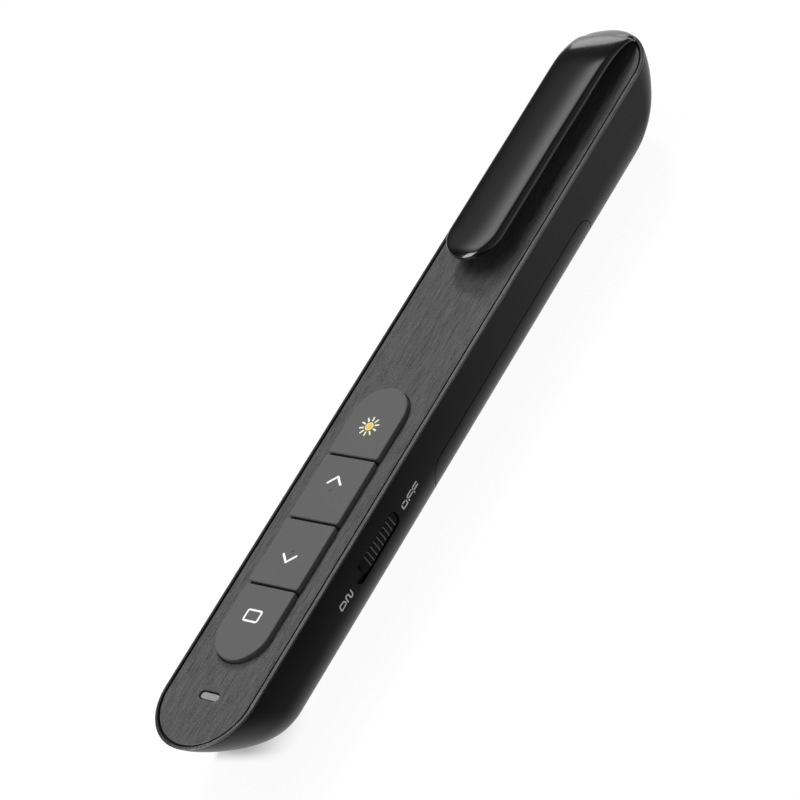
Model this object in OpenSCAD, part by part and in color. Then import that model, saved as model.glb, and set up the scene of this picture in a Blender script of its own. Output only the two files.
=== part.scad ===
// Slim presentation clicker with a pocket clip, four keys, a side power slide,
// a battery door and a plug-in receiver kept in its back.
// It lies on its back: X is across, +Y is the nose end, +Z is the key face.
// The origin is at the middle of the back, on the surface it lies on.

/* [Body] */
// Overall length
body_l = 150; // [140:1:160]
// Width of the key face
body_w = 19.4; // [18.6:0.1:21]
// Depth from the back to the key face
body_t = 13.6; // [13.4:0.1:14.4]
// Radius of the two long lower edges
corner_r = 7; // [6:0.1:7.4]
// How far the tail slopes in from the face to the back
tail_rake = 11.4; // [8:0.1:13]
// How far the nose slopes in from the face to the back
nose_rake = 18; // [14:0.1:20]
// Wall thickness of the shell
wall = 1.2; // [1:0.1:1.3]

/* [Faceplate] */
// Thickness of the faceplate
plate_t = 0.9; // [0.8:0.05:1]
// Width of the rim round the faceplate
rim_w = 0.65; // [0.5:0.05:0.8]
// Height of that rim, which lies on the shell's wall
rim_h = 0.5; // [0.4:0.05:0.6]
// Gap between the rim and the faceplate
plate_gap = 0.2; // [0.15:0.05:0.3]

/* [Keys] */
// Width of the group of keys
key_w = 10.8; // [9.6:0.1:11]
// Length of the group of keys
key_group_l = 54; // [50:0.5:54.5]
// Gap between two keys
key_gap = 0.45; // [0.3:0.05:0.6]
// Length of each of the two middle keys, with its gap
key_pitch = 12.9; // [12:0.1:13]
// Height of the keys over the faceplate
key_raise = 0.8; // [0.6:0.1:1.2]
// Travel of a key
key_travel = 0.4; // [0.2:0.05:0.4]

/* [Clip] */
// Width of the clip
clip_w = 11; // [9:0.1:11.4]
// Distance from the middle of the body to the free end of the clip
clip_tip_y = 20.8; // [15:0.5:30]
// Gap between the faceplate and the clip
clip_gap = 2.8; // [2:0.1:3.4]
// Thickness of the clip at its long edges
clip_edge_t = 1.1; // [0.8:0.1:1.4]
// How much thicker the clip is along its middle
clip_crown = 0.7; // [0.4:0.1:1]

/* [Power slide] */
// Length of the ribbed thumb slide
knob_l = 11.2; // [10:0.1:11.4]
// Height of the ribbed thumb slide
knob_h = 2.8; // [2.4:0.1:2.9]
// Travel of the slide between OFF and ON
knob_travel = 2; // [1.6:0.1:2.2]
// Number of ribs on the slide
knob_ribs = 9; // [5:1:11]

/* [Battery] */
// Diameter of the cell
cell_d = 10.5; // [10.3:0.1:10.5]
// Length of the cell with its cap
cell_l = 44.5; // [44:0.1:44.5]
// Where the door ends towards the tail
door_y0 = -14.8; // [-15.5:0.1:-14.5]
// Where the door ends towards the nose
door_y1 = 40.2; // [40.1:0.1:41]
// Height of the door's seam over the back
door_z = 7; // [6.6:0.1:7]

/* [Hidden] */
$fn = 48;
eps = 0.01;

half_w = body_w / 2;
end_y = body_l / 2 - half_w;          // centre of each round end of the face
tail_curve = 1.21;                    // exponents of the two end slopes
nose_curve = 1.73;
face_z = body_t;

plate_z = face_z - plate_t;           // underside of the faceplate
recess_r = half_w - rim_w;            // pocket that the faceplate lies in
rim_z = face_z - rim_h;
plate_r = recess_r - plate_gap;
chassis_top = plate_z - 0.05;
chassis_z = chassis_top - 0.95;
chassis_r = 8.4;
chassis_tail_y = -64;                 // centres of the round ends of the chassis
chassis_nose_y = 64.5;
seat_gap = 0.1;

key_mid_y = -31.7;                    // middle of the group of keys
key_r = key_w / 2;
key_clear = 0.15;                     // gap between the keys and the faceplate
key_top = face_z + key_raise;
key_edge = 0.15;                      // step round the top of a key
flange_z = chassis_z + 0.1;           // flange that keeps a key in
flange_t = 0.7;
flange_out = 0.65;
flange_end_y = -7.2;                  // no flange past here, over the cell
key_edges = [
    key_mid_y + key_group_l / 2, key_mid_y + key_pitch,
    key_mid_y, key_mid_y - key_pitch, key_mid_y - key_group_l / 2
];
key_posts = [-13, key_mid_y + key_pitch / 2, key_mid_y - key_pitch / 2, -51];

board_z = 7.7;                        // underside of the main board
board_t = 1;
board_top = board_z + board_t;
board_w = 14.8;
board_y0 = -67.2;
board_y1 = -10.7;
tact_w = 4.2;
tact_h = 1.4;
stem_r = 0.8;
stem_z0 = board_top + 0.7;
stem_z1 = 10.6;
stem_hole_z = stem_z0 - key_travel - 0.1;
post_r = 1.1;
membrane_z = 10.7;
membrane_t = 0.5;

light_y = -65;
light_l = 4.1;
light_w = 1.5;

cell_z = wall + 0.15 + cell_d / 2;
cell_y0 = -6.5;
bulk_tail_y = -10.4;                  // the two bulkheads of the battery bay
bulk_nose_y = cell_y0 + cell_l + 0.5;
bulk_t = 0.9;
door_gap = 0.15;
door_corner = 3.2;

laser_z = 8;
laser_r = 3.25;
laser_y0 = 52;
laser_y1 = 66;
laser_hole_r = 1.6;
laser_glass_r = 2.3;
laser_glass_y = 67.9;

slot_h = knob_h + 0.3;
slot_z = 8.45;                        // middle height of the power slide
knob_y1 = -24.4;                      // nose end of the slide at rest
knob_y0 = knob_y1 - knob_l;
knob_ends = 1.2;                      // radius of its corners
rib_mid_y = -29.7;
rib_pitch = (knob_l - 2.3) / knob_ribs;
slot_y1 = knob_y1 + 0.25;
slot_y0 = knob_y0 - knob_travel - 0.25;
carriage_x0 = 7.75;
carriage_x1 = 8.35;
carriage_out = knob_travel + 0.6;     // keeps the slot covered at both ends
lever_y = -29.6;

bay_w = 12.8;                         // bay of the receiver in the back
bay_y0 = -59.2;
bay_y1 = -40;
bay_z = 6.8;
scoop_r = 6.2;                        // finger scoop at its end
scoop_z = -4;
usb_w = 12;
usb_h = 4.5;
usb_l = 11.9;
usb_z = 1.5;
usb_y0 = -58.9;
cap_l = 6.8;
cap_w = 12.4;
cap_z = 6.2;
magnet_y = -53;
magnet_r = 2;

clip_root_y = 70.9;                   // axis that the clip flexes about
clip_root_z = 11.4;
clip_bead_r = 0.9;
clip_bead_l = 5.6;
clip_neck_t = 1.4;
clip_neck_z = 15.3;
clip_fit = 0.05;
clip_lift = 0.3;                      // seam between the clip and the face
socket_x = clip_bead_l / 2 + 0.7;     // block of the chassis that holds the bead
socket_y0 = clip_root_y - clip_bead_r - 0.5;
socket_y1 = clip_root_y + clip_bead_r + 0.5;
socket_z = 10;
clip_z0 = face_z + clip_gap;
clip_z1 = clip_z0 + clip_edge_t;
clip_bend_y = 64.3;                   // where its top starts to curve down
clip_end_y = 74.1;
clip_top_curve = 1.3;                 // exponent of that curve
clip_low_y = 64;                      // the same of its underside
clip_foot_y = 72.1;
clip_low_curve = 1.8;
clip_close_y = 71;                    // where its sides close in to its nose end

screw_places = [[0, -69.4], [-6.9, -1.5], [6.9, -1.5], [0, 42]];
screw_z = 7.8;                        // tips of the screws
screw_r = 0.75;
screw_head_r = 1.4;
screw_head_t = 0.5;
boss_r = 1.6;

steps_end = 18;                       // facets of a half circle in the lofts

shell_colour = [0.06, 0.06, 0.065];
plate_colour = [0.2, 0.2, 0.205];
key_colour = [0.26, 0.26, 0.27];
clip_colour = [0.03, 0.03, 0.035];
board_colour = [0.05, 0.3, 0.14];
steel_colour = [0.7, 0.7, 0.72];
brass_colour = [0.78, 0.62, 0.3];

// ---- outlines and lofts ----

// Flat outline with two round ends, its ends' centres at y0 and y1
module capsule(r, y0, y1) {
    translate([-r, y0]) square([2 * r, y1 - y0]);
    translate([0, y0]) circle(r);
    translate([0, y1]) circle(r);
}

// Prism of that outline between two heights
module capsule_block(r, y0, y1, z0, z1) {
    translate([0, 0, z0]) linear_extrude(z1 - z0) capsule(r, y0, y1);
}

// Prism of a flat YZ outline, from x0 to x1
module side_prism(x0, x1) {
    translate([x0, 0, 0]) rotate([90, 0, 90]) linear_extrude(x1 - x0) children();
}

// Rod along Y
module rod_y(r, y0, y1, z, x = 0) {
    translate([x, y0, z]) rotate([-90, 0, 0]) cylinder(r = r, h = y1 - y0);
}

// Box given by its two opposite corners
module box(a, b) {
    translate(a) cube(b - a);
}

// Flat rectangle between two corners, with round corners
module round_rect(a, b, r) {
    translate([a[0], a[1] + r]) square([b[0] - a[0], b[1] - a[1] - 2 * r]);
    translate([a[0] + r, a[1]]) square([b[0] - a[0] - 2 * r, b[1] - a[1]]);
    for (x = [a[0] + r, b[0] - r], y = [a[1] + r, b[1] - r]) translate([x, y]) circle(r);
}

// Closed solid through rings that have the same number of points. A ring runs
// counterclockwise as seen from the last ring
module loft(rings) {
    n = len(rings[0]);
    m = len(rings);
    polyhedron(
        points = [for (r = rings) each r],
        faces = [
            [for (i = [0 : n - 1]) i],
            [for (i = [n - 1 : -1 : 0]) (m - 1) * n + i],
            for (k = [0 : m - 2]) for (i = [0 : n - 1])
                let (j = (i + 1) % n, a = k * n + i, b = k * n + j, c = a + n, d = b + n)
                    each [[a, c, b], [b, c, d]]
        ]
    );
}

// Inward shift of an end at a share s of the depth
function rake(s, reach, curve) = reach * (1 - pow(max(0, 1 - pow(s, curve)), 1 / curve));

// Half the width at a depth under the face
function half_width(depth, w, r, t) =
    depth <= t - r ? w : w - r + sqrt(max(0, r * r - pow(depth - t + r, 2)));

// One level of the body: a capsule, with its ends set in by the two slopes
function level(depth, w, l, r, t, n) =
    let (h = half_width(depth, w, r, t),
         y1 = l - rake(depth / t, nose_rake, nose_curve) - h,
         y0 = -l + rake(depth / t, tail_rake, tail_curve) + h)
    concat(
        [for (i = [0 : n]) [h * cos(180 * i / n), y1 + h * sin(180 * i / n), face_z - depth]],
        [for (i = [0 : n]) [-h * cos(180 * i / n), y0 - h * sin(180 * i / n), face_z - depth]]
    );

// The body's outer form, or the same form made smaller all round by inset
module body_form(inset, n, side_levels, corner_levels) {
    w = half_w - inset;
    l = body_l / 2 - inset;
    r = corner_r - inset;
    t = body_t - inset;
    loft(concat(
        [for (i = [corner_levels : -1 : 0])
            level(t - r + r * sin(90 * i / corner_levels), w, l, r, t, n)],
        [for (i = [side_levels - 1 : -1 : 0]) level((t - r) * i / side_levels, w, l, r, t, n)]
    ));
}

module outer_form() { body_form(0, steps_end, 5, 10); }
module inner_form() { body_form(wall, 12, 3, 6); }

// ---- shell ----

// Side outline of the door, made larger all round by grow
module door_outline(grow) {
    y0 = door_y0 - grow;
    y1 = door_y1 + grow;
    r = door_corner + grow;
    top = door_z + grow;
    translate([y0, -1]) square([y1 - y0, top - r + 1]);
    translate([y0 + r, -1]) square([y1 - y0 - 2 * r, top + 1]);
    for (y = [y0 + r, y1 - r]) translate([y, top - r]) circle(r);
}

module screw_boss(x, y, z0) {
    translate([x, y, z0]) cylinder(r = boss_r, h = chassis_z - 0.05 - z0);
}

// Bulkhead across the battery bay, clear of the door
module bulkhead(y) {
    box([-half_w + 0.6, y, door_z + 0.3], [half_w - 0.6, y + bulk_t, 10.6]);
    box([-6, y, 2.6], [6, y + bulk_t, door_z + 0.3 + eps]);
}

// Rib that keeps the cell from moving sideways
module cell_rib(y) {
    difference() {
        box([-half_w + 0.6, y, door_z + 0.3], [half_w - 0.6, y + 1.2, 9.6]);
        rod_y(cell_d / 2 + 0.2, y - 1, y + 3, cell_z);
    }
}

module shell_inside() {
    screw_boss(0, -69.4, 5);
    for (s = [-1, 1]) {
        screw_boss(s * 6.9, -1.5, door_z + 0.4);
        box([s > 0 ? 6.9 : -9.1, -2.6, door_z + 0.4], [s > 0 ? 9.1 : -6.9, -0.4, chassis_z - 0.05]);
        box([s > 0 ? 6.6 : -9.1, -21, board_z - 1], [s > 0 ? 9.1 : -6.6, -18, board_z]);
    }
    screw_boss(0, 42, 0.5);
    bulkhead(bulk_tail_y);
    bulkhead(bulk_nose_y);
    cell_rib(8);
    cell_rib(30);
    // box round the receiver bay, and the floor of its finger scoop
    box([-bay_w / 2 - 0.8, bay_y0 - 0.8, 0.5], [bay_w / 2 + 0.8, bay_y1 + 0.8, board_z]);
    box([-5.6, bay_y1, 0.5], [5.6, bay_y1 + 6, 3.6]);
    // seat of the laser window
    rod_y(laser_glass_r + 0.9, laser_glass_y - 0.6, 73, laser_z);
}

module body_shell() {
    color(shell_colour)
    difference() {
        intersection() {
            union() {
                difference() {
                    outer_form();
                    inner_form();
                    side_prism(-half_w - 1, half_w + 1) door_outline(0);
                }
                shell_inside();
            }
            outer_form();
        }
        capsule_block(recess_r, -end_y, end_y, plate_z - 0.02, face_z + 1);
        capsule_block(chassis_r + seat_gap, chassis_tail_y, chassis_nose_y,
                      chassis_z - 0.02, face_z + 1);
        // room for the socket of the clip
        box([-socket_x - seat_gap, socket_y0 - seat_gap, socket_z - seat_gap],
            [socket_x + seat_gap, socket_y1 + seat_gap, face_z + 1]);
        // slot of the power slide
        side_prism(half_w - 2.2, half_w + 1)
            round_rect([slot_y0, slot_z - slot_h / 2], [slot_y1, slot_z + slot_h / 2],
                       knob_ends + 0.1);
        // receiver bay, with a place for its magnet
        box([-bay_w / 2, bay_y0, -1], [bay_w / 2, bay_y1, bay_z]);
        translate([0, magnet_y, bay_z + 0.2]) cylinder(r = magnet_r + 0.05, h = 2);
        translate([0, bay_y1 + 0.8, scoop_z]) sphere(scoop_r);
        // laser window and the hole in front of it
        rod_y(laser_glass_r + 0.05, 66, laser_glass_y + 0.85, laser_z);
        rod_y(laser_hole_r, 66, 80, laser_z);
        for (p = screw_places)
            translate([p[0], p[1], screw_z - 0.2]) cylinder(r = screw_r + 0.05, h = 10);
        rim_space();
    }
}

// Everything over the seam between the shell and the rim
module rim_space() {
    box([-half_w - 1, -body_l, rim_z], [half_w + 1, body_l, face_z + 1]);
}

module face_rim() {
    color(plate_colour)
    difference() {
        intersection() {
            outer_form();
            rim_space();
        }
        capsule_block(recess_r, -end_y, end_y, rim_z - 1, face_z + 1);
    }
}

module faceplate() {
    color(plate_colour)
    difference() {
        capsule_block(plate_r, -end_y, end_y, plate_z, face_z);
        capsule_block(key_r + key_clear, key_mid_y - key_group_l / 2 + key_r,
                      key_mid_y + key_group_l / 2 - key_r, plate_z - 1, face_z + 1);
        light_block(0.1, plate_z - 1, face_z + 1);
        // notch for the neck of the clip
        box([-clip_bead_l / 2 - 0.4, clip_root_y - clip_neck_t / 2 - 0.3, plate_z - 1],
            [clip_bead_l / 2 + 0.4, body_l, face_z + 1]);
    }
}

// The inner frame: carries the faceplate and holds the bead of the clip
module chassis() {
    color([0.12, 0.12, 0.13])
    difference() {
        union() {
            capsule_block(chassis_r, chassis_tail_y, chassis_nose_y, chassis_z, chassis_top);
            box([-socket_x, socket_y0, socket_z], [socket_x, socket_y1, chassis_top]);
        }
        capsule_block(key_r + flange_out + 0.35, key_mid_y - key_group_l / 2 + key_r,
                      key_mid_y + key_group_l / 2 - key_r, chassis_z - 1, chassis_top + 1);
        light_block(0.15, chassis_z - 1, chassis_top + 1);
        // slot over the cell
        box([-2.2, cell_y0 - 0.8, chassis_z - 1], [2.2, bulk_nose_y, chassis_top + 1]);
        for (p = screw_places) translate([p[0], p[1], chassis_z - 1]) {
            cylinder(r = screw_r + 0.1, h = 4);
            translate([0, 0, 1.4]) cylinder(r = screw_head_r + 0.15, h = 2);
        }
        // socket of the clip's bead, open at the top for its neck
        translate([-clip_bead_l / 2 - 0.2, clip_root_y, clip_root_z]) rotate([0, 90, 0])
            cylinder(r = clip_bead_r + clip_fit, h = clip_bead_l + 0.4);
        box([-clip_bead_l / 2 - 0.2, clip_root_y - clip_neck_t / 2 - 0.15, clip_root_z],
            [clip_bead_l / 2 + 0.2, clip_root_y + clip_neck_t / 2 + 0.15, chassis_top + 1]);
    }
}

module chassis_screws() {
    color(steel_colour)
    for (p = screw_places) translate([p[0], p[1], 0]) {
        translate([0, 0, screw_z]) cylinder(r = screw_r, h = chassis_z + 0.4 - screw_z);
        difference() {
            translate([0, 0, chassis_z + 0.4]) cylinder(r = screw_head_r, h = screw_head_t);
            translate([-1, -0.15, chassis_z + 0.65]) cube([2, 0.3, 1]);
            translate([-0.15, -1, chassis_z + 0.65]) cube([0.3, 2, 1]);
        }
    }
}

// ---- keys ----

// Flat outline of the whole group of keys, made larger by grow
module key_outline(grow) {
    capsule(key_r + grow, key_mid_y - key_group_l / 2 + key_r,
            key_mid_y + key_group_l / 2 - key_r);
}

// Slice of that outline between y0 and y1, from z0 to z1
module key_layer(grow, y0, y1, z0, z1) {
    translate([0, 0, z0]) linear_extrude(z1 - z0)
        intersection() {
            key_outline(grow);
            translate([-half_w, y0]) square([body_w, y1 - y0]);
        }
}

// One key between two of the key edges, counted from the nose
module key_cap(i) {
    y1 = key_edges[i] - (i == 0 ? -2 : key_gap / 2);
    y0 = key_edges[i + 1] + (i == 3 ? -2 : key_gap / 2);
    low_y1 = min(y1, flange_end_y);
    color(key_colour)
    union() {
        key_layer(0, y0, y1, flange_z + flange_t, key_top - key_edge);
        key_layer(-key_edge, y0 + key_edge, y1 - key_edge, key_top - key_edge, key_top);
        key_layer(flange_out, y0, low_y1, flange_z, flange_z + flange_t);
        translate([0, key_posts[i], stem_z1]) cylinder(r = post_r, h = flange_z - stem_z1 + eps);
    }
}

module laser_button() { key_cap(0); }
module page_up_button() { key_cap(1); }
module page_down_button() { key_cap(2); }
module black_screen_button() { key_cap(3); }

module stem(i) {
    color([0.85, 0.85, 0.83])
    translate([0, key_posts[i], stem_z0]) cylinder(r = stem_r, h = stem_z1 - stem_z0);
}

module laser_stem() { stem(0); }
module page_up_stem() { stem(1); }
module page_down_stem() { stem(2); }
module black_screen_stem() { stem(3); }

module keypad_membrane() {
    border = key_r + flange_out + 0.4;
    y0 = key_mid_y - key_group_l / 2 + key_r;
    y1 = bulk_tail_y - 0.5 - border;
    color([0.3, 0.3, 0.32])
    difference() {
        union() {
            capsule_block(border + 0.9, y0, y1, membrane_z, membrane_z + membrane_t);
            difference() {
                capsule_block(border + 0.9, y0, y1, membrane_z, chassis_z - 0.02);
                capsule_block(border, y0, y1 + 20, membrane_z, chassis_z + 1);
            }
        }
        for (y = key_posts) translate([0, y, membrane_z - 1]) cylinder(r = post_r + 0.35, h = 3);
    }
}

// ---- boards and switches ----

module main_board() {
    color(board_colour)
    difference() {
        box([-board_w / 2, board_y0, board_z], [board_w / 2, board_y1, board_top]);
        for (s = [-1, 1]) translate([s * board_w / 2, board_y0, board_z - 1])
            rotate([0, 0, 45]) cube([3, 3, 6], center = true);
    }
}

module tact_switches() {
    color([0.08, 0.08, 0.08])
    for (y = key_posts) difference() {
        box([-tact_w / 2, y - tact_w / 2, board_top], [tact_w / 2, y + tact_w / 2, board_top + tact_h]);
        translate([0, y, stem_hole_z]) cylinder(r = stem_r + 0.1, h = 3);
    }
}

module radio_chip() {
    color([0.07, 0.07, 0.08]) box([-2.5, -47, board_top], [2.5, -42, board_top + 0.9]);
}

module crystal() {
    color(steel_colour) capsule_block(0.9, -59.5, -57.9, board_top, board_top + 0.8);
}

module chip_parts() {
    color([0.62, 0.5, 0.36])
    for (y = [-33.4, -31.7, -30], x = [-4.6, 4.6])
        box([x - 0.8, y - 0.4, board_top], [x + 0.8, y + 0.4, board_top + 0.6]);
}

// Block with the outline of the status light, from z0 to z1
module light_block(grow, z0, z1) {
    translate([0, light_y, 0]) rotate([0, 0, 90])
        capsule_block(light_w / 2 + grow, -(light_l - light_w) / 2, (light_l - light_w) / 2, z0, z1);
}

module status_led() {
    color([0.9, 0.9, 0.85]) box([-1.5, light_y - 0.7, board_top], [1.5, light_y + 0.7, board_top + 0.8]);
}

module status_window() {
    color([0.62, 0.63, 0.64]) {
        light_block(0, board_top + 0.9, face_z - 0.15);
        light_block(0.6, chassis_z - 0.75, chassis_z - 0.05);
    }
}

module power_switch() {
    color([0.75, 0.75, 0.76])
    difference() {
        box([3.6, -35.2, 5.8], [7.2, -27.3, board_z]);
        box([5.9, lever_y - 0.9 - knob_travel, 6.35], [8, lever_y + 0.9, 7.35]);
    }
}

module switch_lever() {
    color([0.1, 0.1, 0.1])
    box([6.2, lever_y - 0.6, 6.5], [carriage_x0, lever_y + 0.6, 7.2]);
}

module power_slider() {
    color([0.09, 0.09, 0.095]) {
        box([carriage_x0, knob_y0 - carriage_out, slot_z - 2.05],
            [carriage_x1, knob_y1 + carriage_out, slot_z + 2.05]);
        side_prism(carriage_x1, half_w - 0.4)
            round_rect([knob_y0, slot_z - knob_h / 2], [knob_y1, slot_z + knob_h / 2], knob_ends);
        for (i = [0 : knob_ribs - 1])
            translate([half_w - 0.4, rib_mid_y + rib_pitch * (i - (knob_ribs - 1) / 2) - 0.22,
                       slot_z - knob_h / 2 + 0.2])
                cube([0.35, 0.44, knob_h - 0.4]);
        for (s = [-1, 1])
            box([7.3, lever_y + s * 1.0 - 0.25, 6.5], [carriage_x0, lever_y + s * 1.0 + 0.25, 7.2]);
    }
}

// ---- battery ----

module battery_door() {
    color(shell_colour)
    difference() {
        union() {
            difference() {
                intersection() {
                    outer_form();
                    side_prism(-half_w - 1, half_w + 1) door_outline(-door_gap);
                }
                inner_form();
            }
            // snap lips inside the side walls
            for (s = [-1, 1]) {
                box([s > 0 ? 7.3 : -8.2, 13, 5.4], [s > 0 ? 8.2 : -7.3, 25, 9]);
                box([s > 0 ? 7.3 : -8.9, 13, 5.4], [s > 0 ? 8.9 : -7.3, 25, door_z - 0.3]);
            }
        }
        // thumb grooves
        for (i = [0 : 4])
            box([-3, door_y0 + 4 + 1.4 * i, -1], [3, door_y0 + 4.6 + 1.4 * i, 0.25]);
    }
}

module battery_cell() {
    color([0.75, 0.6, 0.25]) rod_y(cell_d / 2, cell_y0, cell_y0 + cell_l - 1.2, cell_z);
}

module battery_cap() {
    color(steel_colour) rod_y(1.9, cell_y0 + cell_l - 1.2, cell_y0 + cell_l, cell_z);
}

module positive_contact() {
    y = cell_y0 + cell_l + 0.05;
    color(steel_colour) box([-3.5, y, cell_z - 3.5], [3.5, y + 0.4, cell_z + 3.5]);
}

// Conical coil between the tail bulkhead and the cell
module negative_spring() {
    turns = 3;
    n = 16 * turns;
    sides = 8;
    wire_r = 0.25;
    r0 = 3.9;
    r1 = 2.2;
    y0 = bulk_tail_y + bulk_t + wire_r + 0.05;
    y1 = cell_y0 - wire_r - 0.05;
    function ring(k) =
        let (a = 360 * turns * k / n, r = r0 + (r1 - r0) * k / n, y = y0 + (y1 - y0) * k / n)
        [for (i = [0 : sides - 1])
            let (b = 360 * i / sides, q = r + wire_r * cos(b))
            [q * cos(a), y + wire_r * sin(b), cell_z + q * sin(a)]];
    color(steel_colour) loft([for (k = [0 : n]) ring(k)]);
}

// ---- laser ----

module laser_barrel() {
    color(brass_colour)
    difference() {
        rod_y(laser_r, laser_y0, laser_y1, laser_z);
        rod_y(2.3, laser_y0 + 4, laser_y1 + 1, laser_z);
        for (y = [laser_y1 - 1.6, laser_y1 - 2.8]) difference() {
            rod_y(laser_r + 1, y, y + 0.4, laser_z);
            rod_y(laser_r - 0.25, y - 1, y + 1, laser_z);
        }
    }
}

module laser_lens() {
    color([0.8, 0.85, 0.9, 0.6]) rod_y(2.25, laser_y1 - 2.4, laser_y1 - 1, laser_z);
}

module laser_holder() {
    color([0.14, 0.14, 0.15])
    difference() {
        box([-4.6, 54, 4.1], [4.6, 61, chassis_z]);
        rod_y(laser_r + 0.03, 50, 65, laser_z);
    }
}

module laser_driver() {
    color(board_colour) box([-2.8, 44.2, laser_z - 0.4], [2.8, laser_y0, laser_z + 0.4]);
}

module laser_window() {
    color([0.6, 0.1, 0.1, 0.6])
        rod_y(laser_glass_r, laser_glass_y, laser_glass_y + 0.8, laser_z);
}

// ---- receiver ----

module receiver_plug() {
    color(steel_colour)
    difference() {
        box([-usb_w / 2, usb_y0, usb_z], [usb_w / 2, usb_y0 + usb_l, usb_z + usb_h]);
        box([-usb_w / 2 + 0.35, usb_y0 - 1, usb_z + 0.35],
            [usb_w / 2 - 0.35, usb_y0 + usb_l - 0.6, usb_z + usb_h - 0.35]);
        for (x = [-2.9, 2.9])
            box([x - 1.1, usb_y0 + 4.2, usb_z - 1], [x + 1.1, usb_y0 + 6.4, usb_z + usb_h + 1]);
    }
}

module receiver_tongue() {
    color([0.92, 0.92, 0.9])
    box([-usb_w / 2 + 0.45, usb_y0 + 0.4, usb_z + usb_h - 2.3],
        [usb_w / 2 - 0.45, usb_y0 + usb_l - 0.6, usb_z + usb_h - 0.4]);
}

// Its lower face is flush with the rounded back of the body
module receiver_cap() {
    back_x = half_w - corner_r;
    back_r = corner_r - 0.1;
    color([0.05, 0.05, 0.055])
    translate([0, usb_y0 + usb_l, 0]) rotate([-90, 0, 0]) linear_extrude(cap_l)
        intersection() {
            translate([-cap_w / 2, -cap_z]) square([cap_w, cap_z]);
            union() {
                for (x = [-back_x, back_x]) translate([x, -corner_r]) circle(back_r);
                translate([-back_x, -corner_r]) square([2 * back_x, back_r]);
            }
        }
}

module receiver_magnet() {
    color(steel_colour)
    translate([0, magnet_y, bay_z + 0.25]) cylinder(r = magnet_r, h = 0.6);
}

// ---- clip ----

// Half the clip's width at y: round at the free end, a little wider towards the nose,
// where its sides close in along a curve
function clip_half(y) =
    let (r = clip_w / 2, flare = 0.15 * max(0, min(1, (y - 46) / 18)),
         u = max(0, (y - clip_close_y) / (clip_end_y - clip_close_y)))
    y < clip_tip_y + r ? sqrt(max(0, r * r - pow(clip_tip_y + r - y, 2)))
    : (r + flare) * pow(max(0, 1 - pow(u, 3)), 1 / 3);

// Falls from 1 at y0 to 0 at y1 along a rounded corner
function corner(y, y0, y1, curve) =
    let (u = max(0, min(1, (y - y0) / (y1 - y0)))) pow(1 - pow(u, curve), 1 / curve);

// Height of the clip's top edge round its free end, as a share of the whole
function tip_round(y) = let (u = max(0, min(1, (clip_tip_y + 2.2 - y) / 2.2))) sqrt(1 - u * u);

// One ring of the clip at y, from its flat underside over its arched top
function clip_ring(y, n) =
    let (w = max(0.02, clip_half(y)),
         seat = face_z + clip_lift,
         low = seat + (clip_z0 - seat) * corner(y, clip_low_y, clip_foot_y, clip_low_curve),
         drop = corner(y, clip_bend_y, clip_end_y, clip_top_curve),
         top = seat + 0.1 + (clip_z1 - seat - 0.1) * drop,
         edge = low + max(0.1, top - low) * (0.35 + 0.65 * tip_round(y)),
         rise = clip_crown * drop * tip_round(y) * min(1, w / (clip_w / 2)),
         soft = 0.42 * (edge - low))
    concat(
        [[-w, y, low], [w, y, low]],
        [for (i = [0 : n])
            let (a = 180 * i / n, arch = pow(sin(a), 0.6))
            [w * cos(a), y, edge - soft * (1 - arch) + rise * arch]]
    );

module pocket_clip() {
    nose_y = clip_bend_y - 2;
    nose = [for (a = [90 : -6 : 0]) nose_y + (clip_end_y - 0.03 - nose_y) * sin(a)];
    strap = [for (y = [nose_y - 4 : -8 : clip_tip_y + clip_w / 2]) y];
    tip = [for (a = [90 : -9 : 0]) clip_tip_y + 0.02 + clip_w / 2 * (1 - cos(a))];
    color(clip_colour) {
        loft([for (y = concat(nose, strap, tip)) clip_ring(y, 16)]);
        // neck and bead that the chassis holds
        box([-clip_bead_l / 2, clip_root_y - clip_neck_t / 2, clip_root_z],
            [clip_bead_l / 2, clip_root_y + clip_neck_t / 2, clip_neck_z]);
        translate([-clip_bead_l / 2, clip_root_y, clip_root_z]) rotate([0, 90, 0])
            cylinder(r = clip_bead_r, h = clip_bead_l);
    }
}

body_shell();
face_rim();
faceplate();
chassis();
chassis_screws();
pocket_clip();
laser_button();
page_up_button();
page_down_button();
black_screen_button();
laser_stem();
page_up_stem();
page_down_stem();
black_screen_stem();
keypad_membrane();
tact_switches();
main_board();
radio_chip();
crystal();
chip_parts();
status_led();
status_window();
power_switch();
switch_lever();
power_slider();
battery_door();
battery_cell();
battery_cap();
positive_contact();
negative_spring();
laser_barrel();
laser_lens();
laser_holder();
laser_driver();
laser_window();
receiver_plug();
receiver_cap();
receiver_tongue();
receiver_magnet();
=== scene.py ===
"""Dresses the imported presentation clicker: its finished surfaces, signs, stage and camera."""

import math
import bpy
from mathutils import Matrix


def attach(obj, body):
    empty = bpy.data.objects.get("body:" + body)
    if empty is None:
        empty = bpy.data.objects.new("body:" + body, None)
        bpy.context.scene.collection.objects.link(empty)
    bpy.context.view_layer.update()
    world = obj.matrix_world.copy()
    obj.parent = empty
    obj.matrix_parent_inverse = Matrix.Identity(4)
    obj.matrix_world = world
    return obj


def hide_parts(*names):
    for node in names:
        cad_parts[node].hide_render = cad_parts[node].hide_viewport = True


bl_info = {
    "name": "Presentation clicker",
    "version": (1, 0, 0),
    "blender": (4, 5, 0),
    "location": "3D View > Sidebar > Clicker",
    "description": "Builds the finished pieces of a slim presentation clicker",
    "category": "Object",
}

import bmesh
import bpy
from bpy.props import FloatProperty, FloatVectorProperty, IntProperty, PointerProperty
from mathutils import Matrix, Vector

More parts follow.
